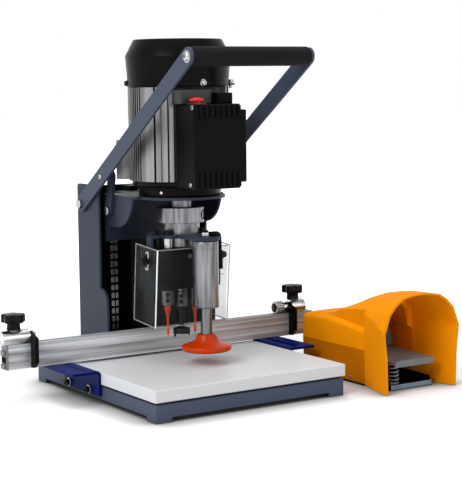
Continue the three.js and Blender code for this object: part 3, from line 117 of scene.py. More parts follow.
def finish_of(name, rgb, rough, metal=0.0, tint=0.05, tint_scale=45, bump=0.12, bump_scale=900,
              rough_spread=0.06, stretch=(1, 1, 1), coat=0.0, specular=0.5, grain=None):
    """A painted, cast, brushed or moulded surface with its own colour noise, grain and gloss noise; strong
    stretched colour noise on metals is painted reflection streaks as well as machining marks.
    """
    material = bpy.data.materials.new(name)
    material.use_nodes = True
    nodes = material.node_tree.nodes
    links = material.node_tree.links
    shader = nodes["Principled BSDF"]
    place = nodes.new("ShaderNodeTexCoord")
    mapping = nodes.new("ShaderNodeMapping")
    mapping.inputs["Scale"].default_value = stretch
    links.new(place.outputs["Object"], mapping.inputs["Vector"])
    tone_and_reflection_streaks = nodes.new("ShaderNodeTexNoise")
    tone_and_reflection_streaks.inputs["Scale"].default_value = tint_scale
    tone_and_reflection_streaks.inputs["Detail"].default_value = 4
    links.new(mapping.outputs["Vector"], tone_and_reflection_streaks.inputs["Vector"])
    ramp = nodes.new("ShaderNodeValToRGB")
    ramp.color_ramp.elements[0].position = 0.3
    ramp.color_ramp.elements[1].position = 0.7
    ramp.color_ramp.elements[0].color = colour(scaled(rgb, 1 - tint))
    ramp.color_ramp.elements[1].color = colour(scaled(rgb, 1 + tint))
    links.new(tone_and_reflection_streaks.outputs["Fac"], ramp.inputs["Fac"])
    links.new(ramp.outputs["Color"], shader.inputs["Base Color"])
    gloss = nodes.new("ShaderNodeMapRange")
    gloss.inputs["To Min"].default_value = max(0.02, rough - rough_spread)
    gloss.inputs["To Max"].default_value = min(1, rough + rough_spread)
    links.new(tone_and_reflection_streaks.outputs["Fac"], gloss.inputs["Value"])
    links.new(gloss.outputs["Result"], shader.inputs["Roughness"])
    if bump > 0:
        fine = nodes.new("ShaderNodeTexNoise")
        fine.inputs["Scale"].default_value = bump_scale
        fine.inputs["Detail"].default_value = 3
        source = place.outputs["Object"]
        if grain is not None:
            lines = nodes.new("ShaderNodeMapping")
            lines.inputs["Scale"].default_value = grain
            links.new(place.outputs["Object"], lines.inputs["Vector"])
            source = lines.outputs["Vector"]
        links.new(source, fine.inputs["Vector"])
        relief = nodes.new("ShaderNodeBump")
        relief.inputs["Strength"].default_value = bump
        relief.inputs["Distance"].default_value = 0.0003
        links.new(fine.outputs["Fac"], relief.inputs["Height"])
        links.new(relief.outputs["Normal"], shader.inputs["Normal"])
    set_socket(shader, "Metallic", metal)
    set_socket(shader, "Coat Weight", coat)
    set_socket(shader, "Coat Roughness", 0.15)
    set_socket(shader, "Specular IOR Level", specular)
    return material


STEEL_BLUE = finish_of("steel_blue_paint", (40, 47, 62), 0.48, 0.0, 0.03, 30, 0.25, 1400, specular=0.15)
ARM_BLUE = finish_of("arm_blue_paint", (55, 64, 82), 0.5, 0.0, 0.03, 30, 0.25, 1400, specular=0.22)
FRAME_BLUE = finish_of("frame_blue_paint", (70, 79, 98), 0.46, 0.0, 0.03, 30, 0.25, 1400, specular=0.15)
CARRIAGE_BLUE = finish_of("carriage_blue_paint", (36, 42, 57), 0.46, 0.0, 0.04, 30, 0.25, 1400,
                          specular=0.2)
NAVY = finish_of("navy_paint", (0, 20, 88), 0.4, 0.0, 0.05, 40, 0.2, 1200, specular=0.05)
LAMINATE = finish_of("white_laminate", (208, 210, 212), 0.36, 0.0, 0.012, 8, 0.05, 500, specular=0.3)
# Painted reflection: the strong colour streaks along the extrusion stand in for reflected bands, as well as
# its brushing.
EXTRUDED = finish_of("extruded_aluminium", (172, 174, 177), 0.36, 0.35, 0.3, 130, 0.25, 240,
                     0.06, (0.02, 1, 1), grain=(0.03, 6, 6))
# Painted reflection: the strong vertical colour streaks on the turned and ground parts stand in for
# reflected bands, as well as turning marks.
TURNED_Z = finish_of("turned_aluminium", (106, 107, 109), 0.28, 0.85, 0.36, 150, 0.2, 240,
                     0.08, (1, 1, 0.06), grain=(0.6, 0.6, 8))
TURNED_ROD = finish_of("ground_rod", (104, 105, 107), 0.2, 1.0, 0.34, 170, 0.06, 240, 0.04, (1, 1, 0.04))
CAST = finish_of("cast_aluminium", (110, 111, 113), 0.5, 0.9, 0.07, 60, 0.5, 900)
CAST_FINS = finish_of("cast_fins", (116, 116, 117), 0.42, 0.95, 0.22, 75, 0.3, 700, 0.08, (1, 1, 0.04))
# Painted shade: a dark copy of the cast metal for the roots between the fins.
FIN_GAP_SHADE = finish_of("cast_fin_gap_painted_shade", (44, 44, 45), 0.5, 0.6, 0.15, 75, 0.3, 700, specular=0.2)
CAST_DARK = finish_of("cast_seat", (58, 59, 60), 0.5, 0.4, 0.07, 60, 0.4, 900, specular=0.3)
BRIGHT = finish_of("bright_steel", (172, 172, 172), 0.22, 1.0, 0.06, 60, 0.12, 500)
# Painted reflection: the strong colour streaks along the stop bodies stand in for reflected bands, as well
# as grinding marks.
BRIGHT_X = finish_of("bright_steel_along", (172, 173, 174), 0.2, 1.0, 0.3, 110, 0.2, 240,
                     0.06, (0.1, 1, 1), grain=(8, 0.5, 0.5))
PLATED = finish_of("plated_steel", (142, 142, 140), 0.32, 1.0, 0.1, 80, 0.15, 600)
# Painted reflection: the vertical colour streaks on the chucks stand in for reflected bands, as well as
# turning marks.
CHUCK = finish_of("chuck_steel", (104, 105, 107), 0.3, 0.95, 0.3, 160, 0.1, 600, 0.08, (1, 1, 0.2))
SPRING = finish_of("spring_steel", (168, 176, 188), 0.3, 0.2, 0.06, 80, 0.1, 600)
END_GREY = finish_of("end_plate", (120, 121, 122), 0.45, 0.5, 0.06, 60, 0.2, 600)
DARK_STEEL = finish_of("dark_steel", (36, 37, 39), 0.42, 0.5, 0.1, 70, 0.2, 700, specular=0.2)
BLACK_OXIDE = finish_of("black_oxide", (10, 10, 11), 0.4, 0.1, 0.1, 90, 0.2, 800, specular=0.15)
BLACK_PAINT = finish_of("black_paint", (6, 6, 6), 0.3, 0.0, 0.15, 40, 0.2, 900, specular=0.06)
BLACK_PLASTIC = finish_of("black_plastic", (7, 7, 7), 0.4, 0.0, 0.15, 50, 0.3, 1600, specular=0.05)
SHINY_PLASTIC = finish_of("shiny_black_plastic", (5, 5, 5), 0.22, 0.0, 0.15, 50, 0.1, 700, specular=0.12)
FOAM = finish_of("black_foam", (14, 14, 15), 0.8, 0.0, 0.15, 260, 0.7, 900, specular=0.14)
RED = finish_of("red_plastic", (200, 18, 12), 0.3, 0.0, 0.04, 60, 0.08, 600, coat=0.2, specular=0.3)
RED_RING = finish_of("red_collar", (110, 14, 10), 0.4, 0.0, 0.04, 60, 0.1, 600, specular=0.3)
PAD_ORANGE = finish_of("pad_rubber", (182, 50, 0), 0.26, 0.0, 0.05, 50, 0.12, 700, specular=0.14)
DRILL_ORANGE = finish_of("drill_coating", (232, 80, 14), 0.4, 0.0, 0.06, 120, 0.12, 700, specular=0.2)
HOOD = finish_of("hood_plastic", (238, 143, 0), 0.55, 0.0, 0.02, 20, 0.15, 900, specular=0.04)
# Painted shade: a darker copy of the hood plastic for the pocket beside the crown.
HOOD_RECESS_SHADE = finish_of("hood_plastic_recess_painted_shade", (222, 130, 0), 0.6, 0.0, 0.02, 20, 0.15, 900, specular=0.03)
# Painted shade: a darker copy of the hood plastic for the lower band of the rear side walls.
HOOD_LOW_SHADE = finish_of("hood_plastic_low_painted_shade", (190, 107, 0), 0.55, 0.0, 0.02, 20, 0.15, 900, specular=0.04)
TREADLE = finish_of("treadle_casting", (124, 142, 158), 0.5, 0.0, 0.07, 60, 0.5, 700, specular=0.3)
TREADLE_LIGHT = finish_of("treadle_edge", (104, 106, 108), 0.45, 0.2, 0.05, 60, 0.3, 700)
TREADLE_DARK = finish_of("heel_plate", (92, 108, 124), 0.5, 0.0, 0.07, 60, 0.5, 700, specular=0.3)
# Painted shade, near black, for the column's inner faces, the strip behind the chain, the fence's middle
# slots and the collar bore; also the gear head's dark seam.
PAINTED_SHADE_AND_SEAM = finish_of("painted_shade_and_seam_black", (7, 7, 9), 0.7, 0.0, 0.1, 40, 0.3, 900, specular=0.05)


def clear_sheet():
    """Clear plastic: mostly see-through, with a light surface haze."""
    material = bpy.data.materials.new("clear_sheet")
    material.use_nodes = True
    nodes = material.node_tree.nodes
    links = material.node_tree.links
    shader = nodes["Principled BSDF"]
    place = nodes.new("ShaderNodeTexCoord")
    haze = nodes.new("ShaderNodeTexNoise")
    haze.inputs["Scale"].default_value = 18
    links.new(place.outputs["Object"], haze.inputs["Vector"])
    cover = nodes.new("ShaderNodeMapRange")
    cover.inputs["To Min"].default_value = 0.16
    cover.inputs["To Max"].default_value = 0.21
    links.new(haze.outputs["Fac"], cover.inputs["Value"])
    links.new(cover.outputs["Result"], shader.inputs["Alpha"])
    set_socket(shader, "Base Color", colour((56, 60, 63)))
    set_socket(shader, "Roughness", 0.16)
    set_socket(shader, "Specular IOR Level", 0.15)
    return material


CLEAR = clear_sheet()
# Painted highlights: light grey tubes on the guard sheet's cut edges and near-white tubes on its bends and
# slot rims.
CLEAR_EDGE_HIGHLIGHT = finish_of("clear_sheet_edge_painted_highlight", (176, 180, 182), 0.3, 0.0, 0.1, 60, 0.1, 700)
CLEAR_BEND_HIGHLIGHT = finish_of("clear_sheet_bend_painted_highlight", (236, 238, 239), 0.2, 0.0, 0.06, 60, 0.1, 700, coat=0.5)


# Mesh making
def add_piece(name, bm, material, body, replaces=(), bevel=0.0, segments=2, sharp=32):
    """Links a finished mesh, rounds its edges and lets it ride on a body."""
    bmesh.ops.remove_doubles(bm, verts=bm.verts, dist=1e-6)
    bmesh.ops.recalc_face_normals(bm, faces=bm.faces)
    mesh = bpy.data.meshes.new(name)
    bm.to_mesh(mesh)
    bm.free()
    mesh.materials.append(material)
    for polygon in mesh.polygons:
        polygon.use_smooth = True
    mesh.set_sharp_from_angle(angle=math.radians(sharp))
    piece = bpy.data.objects.new(name, mesh)
    bpy.context.scene.collection.objects.link(piece)
    if bevel > 0:
        edge = piece.modifiers.new("edge", "BEVEL")
        edge.width = bevel * MM
        edge.segments = segments
        edge.limit_method = "ANGLE"
        edge.angle_limit = math.radians(sharp)
        edge.harden_normals = True
    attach(piece, body)
    if replaces:
        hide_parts(*replaces)
    return piece


def body_of_node(node):
    for body, members in frame["record"]["behaviour"]["bodies"].items():
        if node in members:
            return body
    return None


def dress(node, material, bevel=0.4, segments=2, sharp=32):
    """A copy of a frame node with clean flat faces, rounded edges and a real finish."""
    bm = bmesh.new()
    bm.from_mesh(frame["nodes"][node].data)
    bmesh.ops.remove_doubles(bm, verts=bm.verts, dist=2e-6)
    bmesh.ops.dissolve_limit(bm, angle_limit=math.radians(1.5), verts=bm.verts, edges=bm.edges)
    return add_piece(node + "_skin", bm, material, body_of_node(node), (node,), bevel, segments, sharp)


def add_ring(bm, points):
    return [bm.verts.new(p) for p in points]


def bridge(bm, first, second, closed=True):
    count = len(first)
    last = count if closed else count - 1
    for i in range(last):
        j = (i + 1) % count
        bm.faces.new((first[i], first[j], second[j], second[i]))


def lathe(profile, x=0.0, y=0.0, segments=ROUND, bm=None):
    """A turned solid about a vertical line, bottom up and round: (radius, height) in millimetres."""
    bm = bm or bmesh.new()
    rings = []
    for radius, height in profile:
        if radius <= 0:
            rings.append([bm.verts.new(at(x, y, height))])
        else:
            rings.append(add_ring(bm, [
                at(x + radius * math.cos(TAU * i / segments), y + radius * math.sin(TAU * i / segments),
                   height)
                for i in range(segments)]))
    for low, high in zip(rings, rings[1:]):
        join_rings(bm, low, high)
    return bm


def join_rings(bm, low, high):
    if len(low) == 1 and len(high) == 1:
        return
    if len(low) == 1:
        for i in range(len(high)):
            bm.faces.new((low[0], high[i], high[(i + 1) % len(high)]))
    elif len(high) == 1:
        for i in range(len(low)):
            bm.faces.new((low[i], low[(i + 1) % len(low)], high[0]))
    else:
        bridge(bm, low, high)


def lathe_along(profile, origin, direction, segments=48, bm=None, facing=None):
    """A turned solid about any line: (radius, distance) from an origin, in millimetres."""
    bm = bm or bmesh.new()
    along = Vector(direction).normalized()
    side = along.orthogonal().normalized() if facing is None else Vector(facing)
    up = along.cross(side)
    base = at(*origin)
    rings = []
    for radius, distance in profile:
        middle = base + along * distance * MM
        if radius <= 0:
            rings.append([bm.verts.new(middle)])
        else:
            rings.append(add_ring(bm, [
                middle
                + (side * math.cos(TAU * i / segments) + up * math.sin(TAU * i / segments)) * radius * MM
                for i in range(segments)]))
    for low, high in zip(rings, rings[1:]):
        join_rings(bm, low, high)
    return bm


def prism(outline, place, depth_vector, bm=None):
    """A flat outline pulled along a vector. place turns an outline pair into a scene point."""
    bm = bm or bmesh.new()
    low = add_ring(bm, [place(a, b) for a, b in outline])
    high = add_ring(bm, [place(a, b) + depth_vector for a, b in outline])
    bridge(bm, low, high)
    bm.faces.new(low)
    bm.faces.new(high)
    return bm


def block(x0, x1, y0, y1, z0, z1, bm=None):
    outline = [(x0, y0), (x1, y0), (x1, y1), (x0, y1)]
    return prism(outline, lambda a, b: at(a, b, z0), Vector((0, 0, (z1 - z0) * MM)), bm)


def tube(points, radius, sides=20, bm=None):
    """A round tube along points of the drawing, with flat ends."""
    bm = bm or bmesh.new()
    path = [at(*p) for p in points]
    rings = []
    side = None
    for i, point in enumerate(path):
        before = path[max(i - 1, 0)]
        after = path[min(i + 1, len(path) - 1)]
        along = (after - before).normalized()
        side = along.orthogonal() if side is None else side - along * side.dot(along)
        side = side.normalized()
        up = along.cross(side)
        rings.append(add_ring(bm, [
            point + (side * math.cos(TAU * k / sides) + up * math.sin(TAU * k / sides)) * radius * MM
            for k in range(sides)]))
    for low, high in zip(rings, rings[1:]):
        bridge(bm, low, high)
    bm.faces.new(rings[0])
    bm.faces.new(rings[-1])
    return bm


def hexagon(radius):
    return [(radius * math.cos(TAU * i / 6), radius * math.sin(TAU * i / 6)) for i in range(6)]


def dome_bolt(name, origin, direction, radius, height, body, material=BRIGHT):
    """A button-head screw with a hexagon socket."""
    bm = lathe_along([
        (radius, 0), (radius, height * 0.25), (radius * 0.93, height * 0.6), (radius * 0.74, height * 0.88),
        (radius * 0.5, height), (radius * 0.42, height), (radius * 0.42, height * 0.45),
                      (0, height * 0.45)],
        origin, direction, 32, None)
    return add_piece(name, bm, material, body, sharp=40)


def socket_bolt(name, origin, direction, radius, height, body, material=BLACK_OXIDE):
    """A cap screw with a hexagon socket and a rounded rim."""
    rim = radius * 0.12
    bm = lathe_along([
        (radius, 0), (radius, height - rim), (radius - rim, height), (radius * 0.55, height),
        (radius * 0.5, height * 0.4), (0, height * 0.4)], origin, direction, 36)
    return add_piece(name, bm, material, body, sharp=40)


# Heights read from the frame
def top_of(node):
    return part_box(node)[1].z / MM


def bottom_of(node):
    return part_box(node)[0].z / MM


# Frame: base, board, column, brackets and fence
def dress_with_painted_shade(node, plain, other, is_other, bevel, segments=2):
    """A dressed copy with a second material, painted shade, where a test on a face's middle and normal says
    so.
    """
    piece = dress(node, plain, bevel, segments)
    piece.data.materials.append(other)
    for polygon in piece.data.polygons:
        if is_other(polygon.center, polygon.normal):
            polygon.material_index = 1
    return piece


def inside_column(middle, normal):
    """True on the channel's inner faces, which get painted shade."""
    x = (middle.x - AXIS_X) / MM
    y = (middle.y - AXIS_Y) / MM
    inner = abs(x) < 96 and x * normal.x < 0 and abs(normal.x) > 0.7
    return inner or (normal.y < -0.7 and y > 140)


def chain_backing(middle, normal):
    """True on the strip behind the links, which gets painted shade."""
    return (middle.y - AXIS_Y) / MM > 122


def make_frame_pieces():
    dress("base_frame", FRAME_BLUE, 1.2, 3)
    dress("table_board", LAMINATE, 1.3, 4)
    dress_with_painted_shade("column", STEEL_BLUE, PAINTED_SHADE_AND_SEAM, inside_column, 0.8, 3)
    dress("guide_rail", BLACK_OXIDE, 0.5)
    dress_with_painted_shade("guide_chain", PLATED, PAINTED_SHADE_AND_SEAM, chain_backing, 0.5)
    for side in ("left", "right"):
        dress(f"bracket_{side}", NAVY, 0.7, 3)
        dress(f"fence_cap_{side}", END_GREY, 0.5)
        dress(f"pivot_bolt_{side}", BRIGHT, 1.2, 3)
        for place in ("front", "rear"):
            bracket_screw(side, place)
    dress("fence_profile", EXTRUDED, 0.4, 3)
    fence_ends()


def bracket_screw(side, place):
    """A black socket screw with its bright washer."""
    node = f"bracket_screw_{side}_{place}"
    low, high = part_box(node)
    sign = -1 if side == "left" else 1
    y = ((low.y + high.y) / 2 - AXIS_Y) / MM
    z = (low.z + high.z) / 2 / MM
    inner = (high.x if sign < 0 else low.x) - AXIS_X
    outer = (low.x if sign < 0 else high.x) - AXIS_X
    origin = (inner / MM, y, z)
    reach = abs(outer - inner) / MM
    washer = reach - 5
    bm = lathe_along([(0, 0), (3, 0), (3, washer - 1.4), (6.2, washer - 1.4), (6.6, washer - 1.0),
                      (6.6, washer - 0.3), (6.2, washer), (0, washer)], origin, (sign, 0, 0), 40)
    add_piece(f"washer_{side}_{place}", bm, BRIGHT, "machine", (node,), sharp=40)
    bm = lathe_along([(0, washer - 0.2), (4.9, washer - 0.2), (4.9, reach - 0.7), (4.3, reach),
                      (2.7, reach),
                      (2.5, reach - 2.6), (0, reach - 2.6)], origin, (sign, 0, 0), 40)
    add_piece(f"screw_head_{side}_{place}", bm, BLACK_OXIDE, "machine", (node,), sharp=40)


NUT_REACH = 3.6


def fence_ends():
    """The extrusion's open slots on both end plates."""
    low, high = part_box("fence_cap_left")
    y0 = (low.y - AXIS_Y) / MM
    y1 = (high.y - AXIS_Y) / MM
    z0 = low.z / MM
    for sign, node in ((-1, "fence_cap_left"), (1, "fence_cap_right")):
        low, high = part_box(node)
        face = ((low.x if sign < 0 else high.x) - AXIS_X) / MM
        for i, (za, zb) in enumerate(((1.5, 8.5), (20.5, 28.5))):
            reach = face + sign * NUT_REACH
            bm = block(min(face, reach), max(face, reach), y0 + 3.5, y1 - 3.5, z0 + za, z0 + zb)
            add_piece(f"slot_nut_{node[10:]}_{i}", bm, END_GREY, "machine", bevel=0.9, segments=3)
        # Painted shade: a near-black sheet in the middle slot stands for the shade inside it.
        bm = block(min(face, face + sign * 0.4), max(face, face + sign * 0.4), y0 + 2, y1 - 2, z0 + 10,
                   z0 + 19)
        add_piece(f"slot_shade_{node[10:]}", bm, PAINTED_SHADE_AND_SEAM, "machine", bevel=0.15, segments=1)


make_frame_pieces()


# Length stops
STOP_LOW, STOP_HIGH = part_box("stop_body_left")
FENCE_MIDDLE = ((STOP_LOW.y + STOP_HIGH.y) / 2 - AXIS_Y) / MM
FENCE_MIDDLE_Z = (STOP_LOW.z + STOP_HIGH.z) / 2 / MM


def star_knob(side, x, y, bottom, neck_height, head_height):
    """A scalloped knob with a domed crown and a hollow neck under it."""
    bm = bmesh.new()
    steps = 120
    levels = [
        (0.9, 0), (0.97, 0.5), (1.0, 1.6), (1.0, head_height - 3.4), (0.975, head_height - 2.2),
        (0.91, head_height - 1.2), (0.8, head_height - 0.7), (0.5, head_height - 0.1),
              (0.2, head_height + 0.2)]
    rings = []
    for share, height in levels:
        ring = []
        for i in range(steps):
            angle = TAU * i / steps
            lobe = 0.5 - 0.5 * math.cos(5 * angle)
            dip = 0.2 * lobe ** 1.8 * min(1.0, max(0.0, (share - 0.3) / 0.5))
            radius = 18 * share * (1 - dip)
            ring.append(at(x + radius * math.cos(angle), y + radius * math.sin(angle),
                           bottom + neck_height + height))
        rings.append(add_ring(bm, ring))
    for low, high in zip(rings, rings[1:]):
        bridge(bm, low, high)
    top = bm.verts.new(at(x, y, bottom + neck_height + head_height + 0.3))
    join_rings(bm, rings[-1], [top])
    below = bm.verts.new(at(x, y, bottom + neck_height))
    join_rings(bm, [below], rings[0])
    add_piece(f"knob_head_{side}", bm, SHINY_PLASTIC, f"stop_screw_{side}", (f"stop_knob_{side}",),
              sharp=50)
    bm = lathe([(0, bottom), (9.6, bottom), (10.4, bottom + 0.8), (10.4, bottom + 1.8), (9.9, bottom + 2.6),
                (9.6, bottom + neck_height - 2.5), (10.6, bottom + neck_height - 0.6),
                (12, bottom + neck_height + 0.4), (0, bottom + neck_height + 0.4)], x, y, 64)
    add_piece(f"knob_neck_{side}", bm, SHINY_PLASTIC, f"stop_screw_{side}", (f"stop_knob_{side}",),
              sharp=50)
    bm = lathe([(0, bottom - 5.8), (2.9, bottom - 5.8), (2.9, bottom + 0.2), (0, bottom + 0.2)], x, y, 32)
    add_piece(f"knob_stud_{side}", bm, BRIGHT, f"stop_screw_{side}", (f"stop_knob_{side}",), sharp=50)


KNOB_AXES = {"left": -257.0, "right": 240.0}
WASHER_RADIUS = 8.6


def make_stops():
    for side in ("left", "right"):
        dress(f"stop_body_{side}", BRIGHT_X, 0.6, 3)
        dress(f"stop_plate_{side}", BLACK_PAINT, 0.9, 3)
        body_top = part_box(f"stop_body_{side}")[1].z / MM
        x = KNOB_AXES[side]
        y = FENCE_MIDDLE
        star_knob(side, x, y, body_top + 0.3, 11, 13.4)
        bm = lathe([(3.4, body_top - 0.9), (WASHER_RADIUS - 0.4, body_top - 0.9),
                    (WASHER_RADIUS, body_top - 0.4),
                    (WASHER_RADIUS, body_top - 0.05), (3.4, body_top - 0.05), (3.4, body_top - 0.9)], x, y,
                   48)
        add_piece(f"knob_washer_{side}", bm, BRIGHT, f"stop_{side}", sharp=40)
    knurled_tail()


def knurled_tail():
    """The fine adjuster on the right stop, with a straight knurl and two ring grooves."""
    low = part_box("stop_body_right")[0]
    tail = (low.x - AXIS_X) / MM
    z = FENCE_MIDDLE_Z
    bm = bmesh.new()
    steps = 60
    rows = 16
    length = 15
    rings = []
    for r in range(rows + 1):
        ring = []
        for i in range(steps):
            angle = TAU * i / steps
            ridge = 0.5 if i % 3 else -0.7
            groove = -0.7 if r in (5, 10) else 0
            radius = 9.2 + (min(ridge, groove or ridge) if 0 < r < rows else -0.9)
            ring.append(at(tail + length * r / rows, FENCE_MIDDLE + radius * math.cos(angle),
                           z + radius * math.sin(angle)))
        rings.append(add_ring(bm, ring))
    for near, far in zip(rings, rings[1:]):
        bridge(bm, near, far)
    bm.faces.new(rings[0])
    bm.faces.new(rings[-1])
    add_piece("adjuster_knurl", bm, BRIGHT, "stop_right", sharp=12)
    bm = lathe_along([(0, -1.2), (5, -1.2), (6.2, -0.6), (6.6, 0.1), (0, 0.1)], (tail, FENCE_MIDDLE, z),
                     (1, 0, 0), 40)
    add_piece("adjuster_cap", bm, DARK_STEEL, "stop_right", sharp=40)




make_stops()


# Carriage
def make_carriage():
    dress("carriage_bracket", CARRIAGE_BLUE, 0.7, 3)
    dress("head_barrel", TURNED_Z, 0.7, 3)
    dress("gear_head", BLACK_PAINT, 1.0, 3)
    dress("clamp_bracket", STEEL_BLUE, 0.7, 3)
    dress("link_bolt_left", BRIGHT, 1.1, 3)
    dress("link_bolt_right", BRIGHT, 1.1, 3)
    dress("motor_shaft", DARK_STEEL, 0.4)
    dress("cooling_fan", BLACK_PLASTIC, 0.3)
    collar_hole()
    head_details()


def collar_hole():
    """The clamping bore on the collar's right shoulder."""
    origin = (24.5, -26.4, 264.5)
    # Painted shade: the bore is a near-black plug standing for the shade inside the hole.
    bm = lathe_along([(0, -4), (6, -4), (6, 0.4), (7, 0.9), (7.4, 0.4), (7.4, -4.4), (0, -4.4)], origin,
                     (0.62, -0.78, 0), 40)
    add_piece("collar_bore", bm, PAINTED_SHADE_AND_SEAM, "carriage", sharp=40)


def head_details():
    """Cap screws, spacers and sockets on and around the gear head."""
    top = top_of("clamp_bracket")
    for i, (x, y) in enumerate(((-33, -18), (-49, -5), (29, -16))):
        socket_bolt(f"clamp_screw_{i}", (x, y, top), (0, 0, 1), 5.6, 7, "carriage")
    head_top = 217.05
    for i, (x, y, radius, material) in enumerate((
            (-33, -18, 7.2, BRIGHT), (-45, -9, 3.4, BLACK_OXIDE), (29, -16, 7.2, BRIGHT))):
        bm = lathe([(0, head_top), (radius, head_top), (radius, 231.4), (0, 231.4)], x, y, 40)
        add_piece(f"clamp_spacer_{i}", bm, material, "carriage", bevel=0.3, sharp=40)
    for i, (x, z) in enumerate(((-48, 206), (0, 203), (48, 206), (-48, 166), (48, 166))):
        socket_bolt(f"head_screw_{i}", (x, -27.02, z), (0, -1, 0), 3.2, 2, "carriage",
                    PLATED if i == 1 else BLACK_OXIDE)
    # A dark seam line across the gear head's front.
    bm = block(-59.4, 59.4, -27.5, -26.6, 171.2, 172.0)
    add_piece("head_seam", bm, PAINTED_SHADE_AND_SEAM, "carriage", bevel=0.1, segments=1)


make_carriage()


# Motor
def motor_outline():
    """Radii and angles round the finned frame: wide pads in front, fine fins on the sides and the back."""
    left = [(-126, 70.5), (-126.5, 75.4), (-131.7, 75.4), (-131.7, 69), (-134, 69), (-134, 72.6),
            (-141.3, 72.6),
            (-141.3, 75.4), (-147.6, 75.4), (-147.6, 69), (-150, 69), (-150, 75.4)]
    for i in range(1, 6):
        left.append((-150 - 18.8 * i / 5, 75.4))
    left.append((-168.8, 69.5))
    angle = -171.0
    while angle > -262:
        left += [(angle, 69.5), (angle, 75.4), (angle - 1.7, 75.4), (angle - 1.7, 69.5)]
        angle -= 4.1
    left.append((-269.9, 69.5))
    right = [(-180 - a, r) for a, r in reversed(left)]
    front = [(-54 - 72 * i / 8, 70.5) for i in range(1, 8)]
    points = left + [(a - 360 if a > -90 else a, r) for a, r in right] + [(a - 360, r) for a, r in front]
    return [(r * math.cos(math.radians(a)), r * math.sin(math.radians(a))) for a, r in points]


def make_motor():
    low = bottom_of("motor_body")
    high = top_of("motor_body")
    height = Vector((0, 0, (high - low) * MM))
    bm = prism(motor_outline(), lambda a, b: at(a, b, low), height)
    fins = add_piece("motor_fins", bm, CAST_FINS, "carriage", ("motor_body",), bevel=0.35, segments=2,
                     sharp=25)
    fins.data.materials.append(FIN_GAP_SHADE)
    for polygon in fins.data.polygons:
        middle = polygon.center
        reach = math.hypot(middle.x - AXIS_X, middle.y - AXIS_Y) / MM
        # Painted shade on the fin roots between the fins.
        if 60 < reach < 72.4:
            polygon.material_index = 1
    for side in (-1, 1):
        turn = math.radians(90 - side * 45)
        along = (math.cos(turn), math.sin(turn))
        across = (-along[1], along[0])
        for i in range(5):
            offset = -15 + 7.5 * i
            reach = 93.4 if i in (0, 4) else 91.5
            corners = [(64, offset - 2.1), (reach, offset - 2.1), (reach, offset + 2.1), (64, offset + 2.1)]
            bm = prism(corners, lambda a,
                       b: at(a * along[0] + b * across[0], a * along[1] + b * across[1], low + 0.3),
                       Vector((0, 0, 59.4 * MM)))
            add_piece(f"motor_pad_{side + 1}_{i}", bm, CAST_FINS, "carriage", ("motor_body",), bevel=0.6,
                      segments=2)
        corners = [(64, -14), (86, -14), (86, 14), (64, 14)]
        bm = prism(corners, lambda a,
                   b: at(a * along[0] + b * across[0], a * along[1] + b * across[1], low + 0.5),
                   Vector((0, 0, 58.8 * MM)))
        add_piece(f"motor_pad_core_{side + 1}", bm, CAST, "carriage", ("motor_body",), bevel=0.5)
    seat = block(-49.6, 2.8, -89.6, -62, 431.4, 451.2)
    add_piece("terminal_seat", seat, CAST_DARK, "carriage", ("motor_body",), bevel=1.2, segments=3)
    edge = block(-52.6, -49.8, -68, -58, 430, 455)
    add_piece("terminal_seat_edge", edge, CAST, "carriage", bevel=0.5)
    make_bell()
    make_fan_cover()
    make_terminal_box()


def make_bell():
    """The lower end bell, with its stepped rim and two screws."""
    low = bottom_of("motor_end_bell")
    high = top_of("motor_end_bell")
    bm = lathe([(40, low + 0.4), (60, low + 0.2), (61.4, low + 1), (61.8, low + 2.4), (61.8, high - 9.4),
                (62.6, high - 8.4),
                (69, high - 7.4), (70.2, high - 6.4), (70.6, high - 5), (70.6, high - 0.8), (69.8, high),
                (40, high),
                (40, low + 0.4)], 0, 0, 96)
    add_piece("end_bell", bm, BLACK_PAINT, "carriage", ("motor_end_bell",), sharp=40)
    for i, angle in enumerate((-147, -33, 33, 147)):
        turn = math.radians(angle)
        direction = (math.cos(turn), math.sin(turn), 0)
        bm = lathe_along([(0, -1), (2.6, -1), (2.6, 0.4), (1.9, 1), (0, 1.1)],
                         (61.6 * direction[0], 61.6 * direction[1], low + 6.5), direction, 24)
        add_piece(f"bell_screw_{i}", bm, BRIGHT, "carriage", sharp=50)


